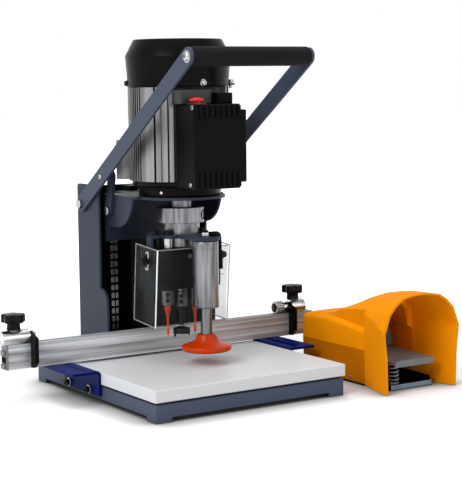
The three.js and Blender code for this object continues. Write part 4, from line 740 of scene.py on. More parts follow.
def make_fan_cover():
    """A deep-drawn cover: tapered skirt, sharp cone and a slotted lid."""
    bottom = bottom_of("fan_cover")
    top = top_of("fan_cover")
    shoulder = top - 25
    profile = [
        (75.4, bottom), (76.2, bottom + 0.6), (76.3, bottom + 4.5), (75.6, bottom + 5.4),
               (76.1, bottom + 12),
        (78.6, shoulder - 1.2), (78.8, shoulder - 0.2), (78.5, shoulder + 0.7), (66.9, top - 1.6),
               (66.2, top - 0.7),
        (65.2, top - 0.15), (64, top), (54, top), (40, top), (26, top), (16, top), (8, top), (0, top)]
    bm = bmesh.new()
    segments = 72
    rings = []
    for radius, height in profile[:-1]:
        rings.append(add_ring(bm, [
            at(radius * math.cos(TAU * i / segments), radius * math.sin(TAU * i / segments), height)
            for i in range(segments)]))
    middle = bm.verts.new(at(0, 0, top))
    for r, (low, high) in enumerate(zip(rings, rings[1:])):
        for i in range(segments):
            if 12 <= r <= 14 and i % 6 in (2, 3):
                continue
            if r == 4 and 29 <= i <= 31:
                continue
            j = (i + 1) % segments
            bm.faces.new((low[i], low[j], high[j], high[i]))
    join_rings(bm, rings[-1], [middle])
    bmesh.ops.recalc_face_normals(bm, faces=bm.faces)
    piece = add_piece("fan_cover_shell", bm, BLACK_PAINT, "carriage", ("fan_cover",), sharp=18)
    wall = piece.modifiers.new("wall", "SOLIDIFY")
    wall.thickness = 1.6 * MM
    wall.offset = -1
    for i, angle in enumerate((-92.2, 28, 90, 151.6)):
        turn = math.radians(angle)
        direction = (math.cos(turn), math.sin(turn), 0)
        origin = (76 * direction[0], 76 * direction[1], bottom + 5.6)
        bm = lathe_along([(0, -1), (5, -1), (5, 0.6), (3.8, 1), (3.8, 3.4), (3.2, 4.2), (1.9, 4.3),
                          (1.8, 2.4), (0, 2.4)],
                         origin, direction, 32)
        add_piece(f"cover_screw_{i}", bm, BRIGHT if i == 0 else BLACK_OXIDE, "carriage", sharp=40)
    turn = math.radians(-23.6)
    direction = (math.cos(turn), math.sin(turn))
    side = (-direction[1], direction[0])
    corners = [(73, -6.5), (83.5, -6.5), (85, -5), (85, 5), (83.5, 6.5), (73, 6.5)]
    bm = prism(corners, lambda a,
               b: at(a * direction[0] + b * side[0], a * direction[1] + b * side[1], bottom + 1.5),
               Vector((0, 0, 2.4 * MM)))
    add_piece("cover_tab", bm, BLACK_PAINT, "carriage", bevel=0.6)
    bolt_x = 79.4 * direction[0]
    bolt_y = 79.4 * direction[1]
    bm = lathe([(0, bottom - 3), (2.4, bottom - 3), (2.4, bottom + 3.9), (5.4, bottom + 3.9),
                (5.4, bottom + 5),
                (4.6, bottom + 5.4), (4.4, bottom + 8.8), (3.6, bottom + 9.8), (2, bottom + 10),
                (0, bottom + 9)],
               bolt_x, bolt_y, 32)
    add_piece("cover_tab_screw", bm, BRIGHT, "carriage", sharp=40)


COLLAR_BORE = 11.4


def make_terminal_box():
    """The base against the frame, and the ribbed cover with notched right corners."""
    bottom = bottom_of("terminal_box")
    top = bottom + 122
    base = [(-42.4, -92), (42.4, -92), (42.4, -63.6)]
    for i in range(13):
        angle = math.radians(-56.5 - 67 * i / 12)
        base.append((76 * math.cos(angle), 76 * math.sin(angle)))
    base.append((-42.4, -63.6))
    bm = prism(base, lambda a, b: at(a, b, bottom + 1.5), Vector((0, 0, 119 * MM)))
    add_piece("box_base", bm, BLACK_PLASTIC, "carriage", ("terminal_box",), bevel=1.4, segments=3)
    notch_wide = 10.5
    notch_high = 8.5
    cover = [(-44.4, bottom), (44.4 - notch_wide, bottom), (44.4 - notch_wide, bottom + notch_high),
             (44.4, bottom + notch_high), (44.4, top - notch_high), (44.4 - notch_wide, top - notch_high),
             (44.4 - notch_wide, top), (-44.4, top)]
    bm = prism(cover, lambda a, b: at(a, -90.4, b), Vector((0, -27.4 * MM, 0)))
    add_piece("box_cover", bm, BLACK_PLASTIC, "carriage", ("terminal_box",), bevel=2.2, segments=4)
    for i in range(2):
        z = bottom + 5.2 if i == 0 else top - 5.2
        socket_bolt(f"box_corner_screw_{i}", (39, -92, z), (0, -1, 0), 3.2, 3, "carriage")
    for i in range(8):
        x = -34.5 + 9.3 * i
        for row, (low, high) in enumerate(((bottom + 2.6, bottom + 25), (top - 20, top - 2.6))):
            bm = block(x - 2.7, x + 2.7, -120, -117.4, low, high)
            add_piece(f"box_rib_{row}_{i}", bm, BLACK_PLASTIC, "carriage", bevel=0.9, segments=3)
    bm = block(-31, 38, -118.5, -117.4, bottom + 28.5, top - 24)
    add_piece("box_field", bm, BLACK_PLASTIC, "carriage", bevel=0.6, segments=3)
    for i, (y, z) in enumerate(((-111.5, top - 4.6), (-104.5, bottom + 6.8))):
        dome_bolt(f"box_side_screw_{i}", (-44.3, y, z), (-1, 0, 0), 3.6, 1.8, "carriage", PLATED)
    bm = block(5.2, 30.8, -101.8, -78.2, top - 0.5, top + 15.8)
    add_piece("box_boss", bm, BLACK_PLASTIC, "carriage", ("terminal_box",), bevel=1.2, segments=3)
    bm = block(8, 28, -103.4, -101, top + 2.4, top + 12.8)
    add_piece("box_boss_plate", bm, BLACK_PLASTIC, "carriage", bevel=0.8, segments=2)
    low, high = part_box("red_button")
    x = ((low.x + high.x) / 2 - AXIS_X) / MM
    y = ((low.y + high.y) / 2 - AXIS_Y) / MM
    z0 = low.z / MM
    z1 = high.z / MM
    bm = lathe([(0, z0), (5.8, z0), (5.8, z1 - 5), (10, z1 - 5), (10.7, z1 - 4.2), (10.9, z1 - 3.2),
                (10.2, z1 - 1.4),
                (8.4, z1 - 0.3), (5.4, z1 + 0.5), (2.6, z1 + 0.9), (0, z1 + 1)], x, y, 64)
    add_piece("stop_button", bm, RED, "push_button", ("red_button",), sharp=50)
    bm = lathe([(COLLAR_BORE, top + 0.05), (13.4, top + 0.05), (13.4, top + 0.8), (12.8, top + 1.5),
                (COLLAR_BORE, top + 1.5), (COLLAR_BORE, top + 0.05)], x, y, 64)
    add_piece("button_collar", bm, RED_RING, "carriage", sharp=40)


make_motor()


# Spindles and tools
def make_spindles():
    for place, x in (("left", -24), ("centre", 0), ("right", 24)):
        dress(f"spindle_{place}", CHUCK, 0.5, 3)
        low = bottom_of(f"spindle_{place}")
        for i, height in enumerate((low + 8, low + 17)):
            bm = lathe_along([(0, -1), (3.2, -1), (3.2, 0.5), (2.7, 0.9), (1.8, 0.9), (1.6, 0.1), (0, 0.1)],
                             (x - 5.2, -8.5, height), (-0.52, -0.85, 0), 24)
            add_piece(f"grub_screw_{place}_{i}", bm, BLACK_OXIDE, f"{place}_spindle", sharp=40)
        bm = lathe([(9.9, low + 22.4), (10.15, low + 22.6), (10.15, low + 24.2), (9.9, low + 24.4),
                    (9.9, low + 22.4)],
                   x, 0, 48)
        add_piece(f"chuck_band_{place}", bm, BLACK_OXIDE, f"{place}_spindle", sharp=40)


def fluted_drill(side, x):
    """A brad-point drill: shank, cone and a twisted body."""
    node = f"drill_{side}"
    low = bottom_of(node)
    high = top_of(node)
    stem = lathe([(0, 110), (1.9, 110), (2.2, 112), (4.2, 119), (5, 121.5), (5, high), (0, high)], x, 0, 36)
    add_piece(f"drill_shank_{side}", stem, DRILL_ORANGE, f"{side}_spindle", (node,), sharp=40)
    bm = bmesh.new()
    rings = []
    steps = 20
    rows = 34
    for r in range(rows + 1):
        height = low + 2.5 + (111.5 - low - 2.5) * r / rows
        ring = []
        for i in range(steps):
            angle = TAU * i / steps
            wave = abs(math.cos(angle - height * 0.32))
            ring.append(at(x + 2.1 * (0.66 + 0.34 * wave) * math.cos(angle),
                           2.1 * (0.66 + 0.34 * wave) * math.sin(angle), height))
        rings.append(add_ring(bm, ring))
    for near, far in zip(rings, rings[1:]):
        bridge(bm, near, far)
    tip = bm.verts.new(at(x, 0, low))
    join_rings(bm, [tip], rings[0])
    bm.faces.new(rings[-1])
    add_piece(f"drill_body_{side}", bm, DRILL_ORANGE, f"{side}_spindle", (node,), sharp=50)


def make_cutter():
    """The hinge cup cutter: a disc with two spurs and two cutting lips."""
    low = bottom_of("cutter")
    high = top_of("cutter")
    bm = lathe([(0, low + 2.2), (2.2, low + 2.4), (11, low + 3.4), (12.9, low + 2.6), (13, low + 3.4),
                (13, low + 9),
                (12.2, low + 10.4), (4.6, low + 12.4), (4, low + 14), (4, high - 26), (5, high - 25),
                (5, high), (0, high)],
               0, 0, 64)
    add_piece("cutter_body", bm, DARK_STEEL, "centre_spindle", ("cutter",), sharp=30)
    bm = lathe([(0, low), (0.5, low + 0.5), (2.2, low + 2.6), (0, low + 2.6)], 0, 0, 24)
    add_piece("cutter_point", bm, DARK_STEEL, "centre_spindle", ("cutter",), sharp=30)
    for turn in (0, math.pi):
        flip = -1 if turn else 1
        for i, (a, b, c, d) in enumerate(((12.9, 8.2, -2.2, 5.2), (12.4, 3.0, 0.8, 4.4))):
            outline = [(flip * a, low + 5), (flip * a, low + c), (flip * (a - 1.4), low + c + 1.6),
                       (flip * b, low + d)]
            bm = prism(outline, lambda p, q: at(p, -2.0 if i == 0 else -0.8, q),
                       Vector((0, (4.0 if i == 0 else 1.6) * MM, 0)))
            add_piece(f"cutter_spur_{i}_{1 if turn else 0}", bm, DARK_STEEL, "centre_spindle", bevel=0.15)


make_spindles()
fluted_drill("left", -24)
fluted_drill("right", 24)
make_cutter()


# Hold-down
def make_hold_down():
    low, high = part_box("clamp_cylinder")
    y = ((low.y + high.y) / 2 - AXIS_Y) / MM
    z0 = low.z / MM
    z1 = top_of("clamp_bracket") - 5.3
    bm = lathe([(9, z0 + 0.3), (17.6, z0 + 0.3), (18.6, z0 + 0.8), (19.2, z0 + 1.8), (19.3, z0 + 3),
                (19.3, z0 + 9.6),
                (19.0, z0 + 9.9), (19.0, z0 + 10.5), (19.3, z0 + 10.8), (19.3, z1 - 12), (19.0, z1 - 11.7),
                (19.0, z1 - 11.1), (19.3, z1 - 10.8), (19.3, z1 - 2), (18.6, z1 - 0.6), (17.8, z1), (9, z1),
                (9, z0 + 0.3)], 0, y, ROUND)
    add_piece("cylinder_tube", bm, TURNED_Z, "carriage", ("clamp_cylinder",), sharp=30)
    bm = lathe([(8.6, z0), (10.6, z0), (11, z0 + 0.5), (11, z0 + 2), (8.6, z0 + 2), (8.6, z0)], 0, y, 64)
    add_piece("cylinder_wiper", bm, BLACK_OXIDE, "carriage", ("clamp_cylinder",), sharp=40)
    top = top_of("clamp_bracket")
    bm = prism(hexagon(5.8), lambda a, b: at(a, y + b, top + 0.05), Vector((0, 0, 6.2 * MM)))
    add_piece("cylinder_nut", bm, BRIGHT, "carriage", ("clamp_cylinder",), bevel=0.7, segments=3)
    bm = lathe([(0, top + 6), (4.9, top + 6), (5.1, top + 6.4), (5.1, top + 8.6), (4.4, top + 9.2),
                (0, top + 9.4)], 0, y, 40)
    add_piece("cylinder_cap", bm, BLACK_OXIDE, "carriage", ("clamp_cylinder",), sharp=40)
    dress("clamp_rod", TURNED_ROD, 0.4, 2)
    make_pad(y)
    make_elbow(y, top)


def make_pad(y):
    """The hold-down's moulded pad, smooth from its hub down to the rim."""
    low = bottom_of("clamp_pad")
    high = top_of("clamp_pad")
    bm = lathe([(0, low), (34, low), (35.8, low + 0.7), (36.8, low + 2.2), (37, low + 4), (36.8, low + 6),
                (35.8, low + 7.6), (34, low + 8.6), (30.5, low + 9.8), (26, low + 11), (22, low + 12.3),
                (19.2, low + 13.9),
                (17.2, low + 16), (15.8, low + 18.6), (14.9, low + 21.2), (14.2, high - 1.3),
                (13.4, high - 0.4),
                (12.2, high), (6, high), (0, high - 0.6)], 0, y, ROUND)
    add_piece("moulded_pad", bm, PAD_ORANGE, "hold_down", ("clamp_pad",), sharp=60)


def make_elbow(y, top):
    """The air fitting: a swivel body on the tongue and a flat arm down beside the cylinder."""
    node = ("air_elbow",)
    bm = lathe([(0, top + 0.3), (6.8, top + 0.3), (7.2, top + 0.9), (7.2, top + 4.6), (6.4, top + 6),
                (0, top + 6.6)],
               14, y, 48)
    add_piece("elbow_base", bm, BLACK_PLASTIC, "carriage", node, sharp=40)
    bm = tube([(12, y, top + 3.6), (18, y, top + 3.7), (21.4, y, top + 3.2), (23.6, y, top + 1.6),
               (24.6, y, top - 1),
               (24.9, y, top - 5), (24.9, y, top - 34)], 3.1, 24)
    add_piece("elbow_arm", bm, BLACK_PLASTIC, "carriage", node, sharp=50)
    bm = block(21.4, 28.4, y - 4, y + 4, top - 50, top - 22)
    add_piece("elbow_shoe", bm, BLACK_PLASTIC, "carriage", node, bevel=1.4, segments=4)
    bm = lathe_along([(0, -0.2), (2.6, -0.2), (2.6, 1.4), (2.1, 2), (0, 2)], (28.4, y, top - 30),
                     (1, 0, 0), 24)
    add_piece("elbow_plug", bm, BLACK_OXIDE, "carriage", sharp=40)


make_hold_down()


# Guard
LEAN = math.radians(5)
LEAN_Y = -10
LEAN_Z = 199
GUARD_HALF = 65
GUARD_FRONT = -40
GUARD_BACK = 26
GUARD_LOW = 102
GUARD_HIGH = 220


def leaned(x, y, z):
    dy = y - LEAN_Y
    dz = z - LEAN_Z
    return (x, LEAN_Y + dy * math.cos(LEAN) - dz * math.sin(LEAN),
            LEAN_Z + dy * math.sin(LEAN) + dz * math.cos(LEAN))


def guard_line(height, inset):
    half = GUARD_HALF - inset
    front = GUARD_FRONT + inset
    points = [(-half, GUARD_BACK - 0.4), (-half, front + 5)]
    for i in range(1, 6):
        turn = math.pi + math.pi / 2 * i / 6
        points.append((-half + 5 + 5 * math.cos(turn), front + 5 + 5 * math.sin(turn)))
    points.append((-half + 5, front))
    points.append((half - 5, front))
    for i in range(1, 6):
        turn = 1.5 * math.pi + math.pi / 2 * i / 6
        points.append((half - 5 + 5 * math.cos(turn), front + 5 + 5 * math.sin(turn)))
    points += [(half, front + 5), (half, GUARD_BACK - 0.4)]
    return [leaned(x, y, height) for x, y in points]


BEND_INSET = 1.7


def make_guard():
    dress("guard", CLEAR, 0.2, 1)
    # Painted highlight along the sheet's top and bottom edges.
    for name, height in (("top", GUARD_HIGH - 0.7), ("bottom", GUARD_LOW + 0.7)):
        add_piece(f"guard_edge_{name}", tube(guard_line(height, 1.3), 0.75, 10), CLEAR_EDGE_HIGHLIGHT, "guard_sheet",
                  sharp=50)
    for side in (-1, 1):
        x = side * (GUARD_HALF - 1.3)
        bm = tube([leaned(x, GUARD_BACK - 0.6, GUARD_LOW + 0.5),
                   leaned(x, GUARD_BACK - 0.6, GUARD_HIGH - 0.5)], 0.75, 10)
        add_piece(f"guard_edge_rear_{side + 1}", bm, CLEAR_EDGE_HIGHLIGHT, "guard_sheet", sharp=50)
        # Painted highlight along each front bend of the sheet.
        corner_x = side * (GUARD_HALF - BEND_INSET)
        corner_y = GUARD_FRONT + BEND_INSET
        bm = tube([leaned(corner_x, corner_y, GUARD_LOW + 0.4),
                   leaned(corner_x, corner_y, GUARD_HIGH - 0.4)], 1.15, 12)
        add_piece(f"guard_bend_{side + 1}", bm, CLEAR_BEND_HIGHLIGHT, "guard_sheet", sharp=50)
        make_slot_rim(side)
        make_thumb_screw(side)


def make_slot_rim(side):
    """The rim of one guard slot, painted near white as a highlight."""
    x = side * (GUARD_HALF - 0.5)
    points = []
    for i in range(29):
        turn = TAU * i / 28
        end = 10.5 if math.sin(turn) >= 0 else -10.5
        points.append(leaned(x, LEAN_Y + 3.1 * math.cos(turn), LEAN_Z + end + 3.1 * math.sin(turn)))
    add_piece(f"guard_slot_rim_{side + 1}", tube(points, 0.75, 10), CLEAR_BEND_HIGHLIGHT, "guard_sheet", sharp=50)


def make_thumb_screw(side):
    node = f"guard_knob_{'left' if side < 0 else 'right'}"
    low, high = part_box(node)
    outer = ((low.x if side < 0 else high.x) - AXIS_X) / MM
    inner = ((high.x if side < 0 else low.x) - AXIS_X) / MM
    reach = abs(outer - inner)
    bm = lathe_along([(0, 0.2), (1.9, 0.2), (1.9, reach - 9), (6.4, reach - 9), (6.9, reach - 8.2),
                      (6.9, reach - 6.4),
                      (5, reach - 5.6), (4.8, reach - 1.4), (4, reach - 0.3), (0, reach)],
                     (inner, LEAN_Y, LEAN_Z), (side, 0, 0), 40)
    add_piece(f"thumb_screw_{side + 1}", bm, SHINY_PLASTIC, body_of_node(node), (node,), sharp=40)
    bm = lathe_along([(0, -0.4), (2.6, -0.4), (2.6, 0.3), (1.8, 0.9), (0, 1)], (outer, LEAN_Y, LEAN_Z),
                     (side, 0, 0), 24)
    add_piece(f"knob_dot_{side + 1}", bm, BLACK_OXIDE, body_of_node(node), sharp=40)


make_guard()


# Lever
def make_lever():
    for side in ("left", "right"):
        dress(f"arm_{side}", ARM_BLUE, 0.7, 3)
        dress(f"link_{side}", STEEL_BLUE, 0.7, 3)
    dress("grip_tube", BRIGHT, 0.4)
    low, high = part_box("grip")
    half = (high.x - low.x) / 2 / MM + 1.4
    radius = (high.z - low.z) / 2 / MM
    y = ((low.y + high.y) / 2 - AXIS_Y) / MM
    z = (low.z + high.z) / 2 / MM
    profile = [(8.4, -half), (radius - 1.6, -half), (radius - 0.5, -half + 0.8), (radius, -half + 2.4),
               (radius, half - 2.4), (radius - 0.5, half - 0.8), (radius - 1.6, half), (8.4, half),
               (8.4, -half)]
    bm = lathe_along(profile, (0, y, z), (1, 0, 0), 72)
    add_piece("foam_grip", bm, FOAM, "lever", ("grip",), sharp=50)
    arm_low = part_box("arm_left")[0]
    outer = abs(arm_low.x - AXIS_X) / MM
    for side in (-1, 1):
        dome_bolt(f"grip_bolt_{side + 1}", (side * outer, y, z), (side, 0, 0), 6.8, 4.4, "lever")
        bm = lathe_along([(7.4, -0.3), (8.6, -0.3), (8.6, 0.5), (7.8, 0.9), (6.6, 0.9), (6.6, -0.3),
                          (7.4, -0.3)],
                         (side * outer, y, z), (side, 0, 0), 48)
        add_piece(f"grip_washer_{side + 1}", bm, BRIGHT, "lever", sharp=40)
        pin_y = 128 - 80 * math.cos(math.radians(34.4))
        pin_z = 277 + 80 * math.sin(math.radians(34.4))
        dome_bolt(f"link_pin_head_{side + 1}", (side * outer, pin_y, pin_z), (side, 0, 0), 3.6, 1.8,
                  "lever")


make_lever()


# Foot pedal
PEDAL_X = ((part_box("pedal_hood")[0].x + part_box("pedal_hood")[1].x) / 2 - AXIS_X) / MM
HOOD_CREASE = -161
HOOD_WALL = 2.6
LOW_WALL = 55
LOW_LEAN = 1.6
FLARE_STATIONS = (
    # distance, half width at the foot, half width at the shoulder, height, shoulder radius
    (-238, 69, 73.5, 147, 54),
    (-222, 65, 68, 147.8, 50),
    (-205, 60.5, 62, 147.2, 45),
    (-186, 54.8, 56, 144.6, 38),
    (-161, 48.2, 48.6, 140, 30),
)
REAR_STATIONS = (
    # distance, half width, wall top, ledge, foot of the crown's side, top of the crown's side, crown
    (-161, 48.2, 78, 87, 87.4, 114.6, 140),
    (-135, 48.2, 80.6, 89, 89.6, 113.4, 132.4),
    (-114, 48.2, 83.2, 91.6, 92.2, 111.6, 125.6),
    (-85, 48.2, 85.6, 94.6, 95.2, 107.4, 113.6),
    (-66, 48.2, 86.4, 96, 96.6, 100.4, 107.6),
    (-54, 48.2, 86.4, 96, 96.8, 98.2, 104),
    (-30, 48.2, 85.6, 94.6, 95.6, 96.8, 98.6),
    (-6, 48.2, 84, 93, 93.6, 94.2, 94.8),
    (-1.5, 47.4, 83, 92, 92.4, 92.8, 93.2),
    (0, 46, 82, 90.6, 91, 91.2, 91.4),
)
LEDGE_HALF = 38.8
RECESS_END = -52
CROWN_HALF = 34
MOUTH_CORNERS = (
    # share of the shoulder's turn, distance from the middle, height
    (0.0, 73.5, 93),
    (0.34, 62.5, 121.5),
    (0.5, 49.5, 134.5),
    (0.68, 35, 143.2),
    (0.86, 14, 146.6),
    (1.0, 0, 147),
)


def eased(table, value):
    """The rest of a row of numbers at a value of its first column, eased between the rows."""
    for before, after in zip(table, table[1:]):
        if value <= after[0]:
            share = (value - before[0]) / (after[0] - before[0])
            return [a + (b - a) * share for a, b in zip(before[1:], after[1:])]
    return list(table[-1][1:])


def low_wall(half_width, bottom):
    rise = LOW_WALL - bottom
    return [[half_width - LOW_LEAN * (1 - share),
             bottom + rise * share] for share in (0, 0.25, 0.5, 0.75, 1)]


def flare_section(y, bottom):
    """Half a section of the flare: round at the crease, a polygon at the mouth."""
    foot, shoulder, height, radius = eased(FLARE_STATIONS, y)
    spring = height - radius
    mouth = max(0.0, min(1.0, (-203 - y) / 35))
    mouth = mouth * mouth * (3 - 2 * mouth)
    half = low_wall(foot, bottom)
    for share in (0.25, 0.5, 0.75, 1):
        half.append([foot + (shoulder - foot) * share, LOW_WALL + (spring - LOW_WALL) * share])
    steps = 25
    for i in range(1, steps + 1):
        turn = math.pi / 2 * i / steps
        x = (shoulder - radius) * (1 - i / steps) + radius * math.cos(turn)
        z = spring + radius * math.sin(turn)
        corner_x, corner_z = eased(MOUTH_CORNERS, i / steps)
        half.append([x + (corner_x - x) * mouth, z + (corner_z - z) * mouth])
    return half


def rear_section(y, bottom):
    """Half a section of the rear body: wall, rounded shoulder, ledge, the crown's side and the crown."""
    width, wall_top, ledge, side_low, side_high, crown = eased(REAR_STATIONS, y)
    half = low_wall(width, bottom)
    for share in (0.25, 0.5, 0.75, 1):
        half.append([width, LOW_WALL + (wall_top - LOW_WALL) * share])
    for i in range(1, 7):
        turn = math.pi / 2 * i / 6
        half.append([LEDGE_HALF + (width - LEDGE_HALF) * math.cos(turn),
                     wall_top + (ledge - wall_top) * math.sin(turn)])
    for i in range(1, 7):
        share = i / 6
        half.append([LEDGE_HALF + (CROWN_HALF - LEDGE_HALF) * share,
                     side_low + (side_high - side_low) * share])
    for i in range(1, 14):
        share = i / 13
        half.append([CROWN_HALF * (1 - share), side_high + (crown - side_high) * (1 - (1 - share) ** 1.35)])
    return half


def hood_section(y, inset, bottom):
    half = flare_section(y, bottom) if y <= HOOD_CREASE else rear_section(y, bottom)
    return [[x * (1 - inset / 48), z if z <= LOW_WALL else z - inset] for x, z in half]


def hood_rows():
    rows = [-238, -236, -231, -226, -220, -214, -208, -202, -196, -190, -184, -178, -172, -166, -162.4,
            -161, -160.6,
            -160, -157]
    y = -152
    while y < -8:
        rows.append(y)
        y += 4
    return rows + [-6, -3.6, -1.5, -0.5, 0]


def make_hood():
    bm = bmesh.new()
    outer = []
    inner = []
    for y in hood_rows():
        bottom = 0.5 if y <= HOOD_CREASE else 2.6
        for inset, rows, reach in ((0, outer, y), (HOOD_WALL, inner, min(y, -HOOD_WALL))):
            half = hood_section(reach, inset, bottom)
            arch = [at(PEDAL_X - x, reach, z) for x, z in half]
            arch += [at(PEDAL_X + x, reach, z) for x, z in reversed(half[:-1])]
            rows.append(add_ring(bm, arch))
    for shell in (outer, inner):
        for near, far in zip(shell, shell[1:]):
            bridge(bm, near, far, closed=False)
    bridge(bm, outer[0], inner[0], closed=False)
    bm.faces.new(outer[-1])
    bm.faces.new(inner[-1])
    for end in (0, -1):
        for i in range(len(outer) - 1):
            bm.faces.new((outer[i][end], outer[i + 1][end], inner[i + 1][end], inner[i][end]))
    bmesh.ops.remove_doubles(bm, verts=bm.verts, dist=2e-5)
    piece = add_piece("hood_shell", bm, HOOD, "machine", ("pedal_hood",), sharp=11)
    piece.data.materials.append(HOOD_LOW_SHADE)
    piece.data.materials.append(HOOD_RECESS_SHADE)
    for polygon in piece.data.polygons:
        middle = polygon.center
        y = (middle.y - AXIS_Y) / MM
        side = abs((middle.x - AXIS_X) / MM - PEDAL_X)
        # Painted shade on the rear side walls below the low wall line.
        if y > HOOD_CREASE and middle.z / MM < LOW_WALL and side > 46:
            polygon.material_index = 1
        # Painted shade in the pocket between the ledge and the crown.
        beside_crown = CROWN_HALF + 0.2 < side < LEDGE_HALF - 0.2
        if HOOD_CREASE < y < RECESS_END and middle.z / MM > 87 and beside_crown:
            polygon.material_index = 2
    side_wall = 48 - 1.0
    for side in (-1, 1):
        bm = lathe_along([(0, -0.6), (2.6, -0.6), (2.6, 0.5), (2, 1.1), (1, 1.2), (0.9, 0.4), (0, 0.4)],
                         (PEDAL_X + side * side_wall, -125, 8.4), (side, 0, 0), 24)
        add_piece(f"hood_screw_{side + 1}", bm, PLATED, "machine", sharp=40)
    rim = block(PEDAL_X - 48.4, PEDAL_X + 48.4, HOOD_CREASE + 1, 0.3, 0.1, 2.3)
    add_piece("hood_sole", rim, BLACK_PLASTIC, "machine", bevel=0.3)


def make_spring():
    """A close coil between the tray and the treadle, with flattened end turns."""
    low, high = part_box("pedal_spring")
    x = ((low.x + high.x) / 2 - AXIS_X) / MM
    y = ((low.y + high.y) / 2 - AXIS_Y) / MM
    z0 = low.z / MM + 1.1
    z1 = high.z / MM - 1.1
    turns = 7
    steps = turns * 24
    points = []
    for i in range(steps + 1):
        share = i / steps
        rise = min(1, max(0, (share - 0.07) / 0.86))
        turn = TAU * turns * share
        points.append((x + 7.4 * math.cos(turn), y + 7.4 * math.sin(turn), z0 + (z1 - z0) * rise))
    coil = add_piece("spring_coil", tube(points, 1.05, 12), SPRING, body_of_node("pedal_spring"),
                     ("pedal_spring",), sharp=60)
    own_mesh(coil)


def make_pedal():
    dress("pedal_base", BLACK_PLASTIC, 0.6, 3)
    dress("pedal_pin", BRIGHT, 0.3)
    dress("pedal_treadle", TREADLE, 0.9, 3)
    dress("pedal_valve", DARK_STEEL, 0.8, 2)
    make_spring()
    low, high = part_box("pedal_base")
    front = (low.y - AXIS_Y) / MM
    bm = block(PEDAL_X - 39.4, PEDAL_X + 39.4, front - 0.5, front + 0.4, 1.0, 8.2)
    add_piece("tray_lip", bm, TREADLE, "machine", bevel=0.25)
    body = body_of_node("pedal_treadle")
    plate = [(-36, 49), (-29, 80), (-26, 84), (26, 84), (29, 80), (36, 49)]
    bm = prism(plate, lambda a, b: at(PEDAL_X + a, -126.6, b), Vector((0, 2.6 * MM, 0)))
    add_piece("heel_plate", bm, TREADLE_DARK, body, bevel=0.8, segments=3)
    low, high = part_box("pedal_treadle")
    front = (low.y - AXIS_Y) / MM
    bm = block(PEDAL_X - 36.6, PEDAL_X + 36.6, front - 0.35, front + 0.6, low.z / MM + 0.6,
               high.z / MM - 4.2)
    add_piece("treadle_lip_face", bm, TREADLE_LIGHT, body, bevel=0.3)
    make_hood()


make_pedal()


# Floor, world and lamps
FLOOR_COLOUR = 0.8
FLOOR_NEAR = 0.2
FLOOR_FAR = 1.0
NEAR_EDGE = 0.3
FAR_EDGE = 1.1
# Painted contact shade on the floor: reach and strength of the darkening near the object.
CONTACT_SHADE_REACH = 0.05
CONTACT_SHADE_POWER = 1.5
WORLD_LIGHT = 0.5


def any_seen_ray(nodes, links):
    """One where a camera, glossy or transmission ray arrives."""
    rays = nodes.new("ShaderNodeLightPath")
    first = nodes.new("ShaderNodeMath")
    first.operation = "MAXIMUM"
    links.new(rays.outputs["Is Camera Ray"], first.inputs[0])
    links.new(rays.outputs["Is Glossy Ray"], first.inputs[1])
    second = nodes.new("ShaderNodeMath")
    second.operation = "MAXIMUM"
    links.new(first.outputs[0], second.inputs[0])
    links.new(rays.outputs["Is Transmission Ray"], second.inputs[1])
    return second.outputs[0]


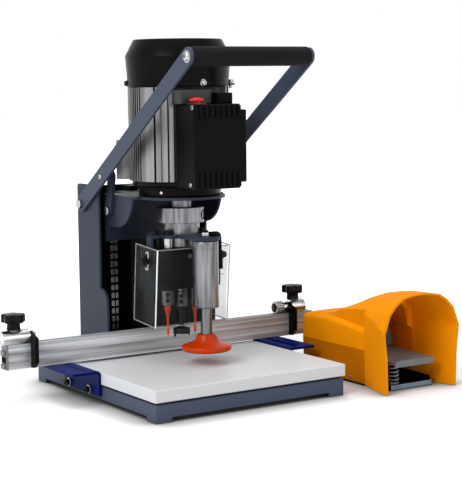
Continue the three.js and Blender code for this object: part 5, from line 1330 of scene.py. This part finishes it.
def make_floor():
    size = 14
    bm = bmesh.new()
    corners = [(-size, -size), (size, -size), (size, size), (-size, size)]
    bm.faces.new([bm.verts.new((x, y, 0)) for x, y in corners])
    mesh = bpy.data.meshes.new("floor")
    bm.to_mesh(mesh)
    bm.free()
    floor = bpy.data.objects.new("floor", mesh)
    bpy.context.scene.collection.objects.link(floor)
    material = bpy.data.materials.new("floor_white")
    material.use_nodes = True
    nodes = material.node_tree.nodes
    links = material.node_tree.links
    nodes.clear()
    output = nodes.new("ShaderNodeOutputMaterial")
    diffuse = nodes.new("ShaderNodeBsdfDiffuse")
    glow = nodes.new("ShaderNodeEmission")
    place = nodes.new("ShaderNodeTexCoord")
    distance = nodes.new("ShaderNodeVectorMath")
    distance.operation = "LENGTH"
    links.new(place.outputs["Object"], distance.inputs[0])
    fade = nodes.new("ShaderNodeMapRange")
    fade.interpolation_type = "SMOOTHSTEP"
    fade.inputs["From Min"].default_value = NEAR_EDGE
    fade.inputs["From Max"].default_value = FAR_EDGE
    fade.inputs["To Min"].default_value = FLOOR_NEAR
    fade.inputs["To Max"].default_value = FLOOR_FAR
    links.new(distance.outputs["Value"], fade.inputs["Value"])
    # Painted contact shade: an ambient-occlusion factor darkens the floor's colour and its glow near the
    # object.
    near = nodes.new("ShaderNodeAmbientOcclusion")
    near.inputs["Distance"].default_value = CONTACT_SHADE_REACH
    open_share = nodes.new("ShaderNodeMath")
    open_share.operation = "POWER"
    open_share.inputs[1].default_value = CONTACT_SHADE_POWER
    links.new(near.outputs["AO"], open_share.inputs[0])
    tone = nodes.new("ShaderNodeMath")
    tone.operation = "MULTIPLY"
    tone.inputs[1].default_value = FLOOR_COLOUR
    links.new(open_share.outputs[0], tone.inputs[0])
    links.new(tone.outputs[0], diffuse.inputs["Color"])
    open_fade = nodes.new("ShaderNodeMath")
    open_fade.operation = "MULTIPLY"
    links.new(open_share.outputs[0], open_fade.inputs[0])
    links.new(fade.outputs["Result"], open_fade.inputs[1])
    lift = nodes.new("ShaderNodeMath")
    lift.operation = "MULTIPLY"
    links.new(any_seen_ray(nodes, links), lift.inputs[0])
    links.new(open_fade.outputs[0], lift.inputs[1])
    links.new(lift.outputs[0], glow.inputs["Strength"])
    total = nodes.new("ShaderNodeAddShader")
    links.new(diffuse.outputs[0], total.inputs[0])
    links.new(glow.outputs[0], total.inputs[1])
    links.new(total.outputs[0], output.inputs["Surface"])
    mesh.materials.append(material)


def make_world():
    world = bpy.data.worlds.new("studio")
    bpy.context.scene.world = world
    world.use_nodes = True
    nodes = world.node_tree.nodes
    links = world.node_tree.links
    nodes.clear()
    output = nodes.new("ShaderNodeOutputWorld")
    soft = nodes.new("ShaderNodeBackground")
    soft.inputs["Color"].default_value = (1, 1, 1, 1)
    soft.inputs["Strength"].default_value = WORLD_LIGHT
    white = nodes.new("ShaderNodeBackground")
    white.inputs["Color"].default_value = (1, 1, 1, 1)
    white.inputs["Strength"].default_value = 1.0
    mix = nodes.new("ShaderNodeMixShader")
    links.new(any_seen_ray(nodes, links), mix.inputs["Fac"])
    links.new(soft.outputs[0], mix.inputs[1])
    links.new(white.outputs[0], mix.inputs[2])
    links.new(mix.outputs[0], output.inputs["Surface"])


def make_lamp(name, place, target, size, power):
    data = bpy.data.lights.new(name, "AREA")
    data.shape = "SQUARE"
    data.size = size
    data.energy = power
    lamp = bpy.data.objects.new(name, data)
    bpy.context.scene.collection.objects.link(lamp)
    lamp.location = at(*place)
    lamp.rotation_euler = (at(*target) - lamp.location).to_track_quat("-Z", "Y").to_euler()


make_floor()
make_world()
make_lamp("key", (-1750, -750, 1500), (0, 0, 200), 1.1, 34)
make_lamp("fill", (900, -2000, 1000), (0, 0, 200), 1.4, 7)
make_lamp("top", (100, 100, 2200), (0, 0, 150), 1.6, 19)

bpy.context.scene.view_settings.view_transform = "Standard"
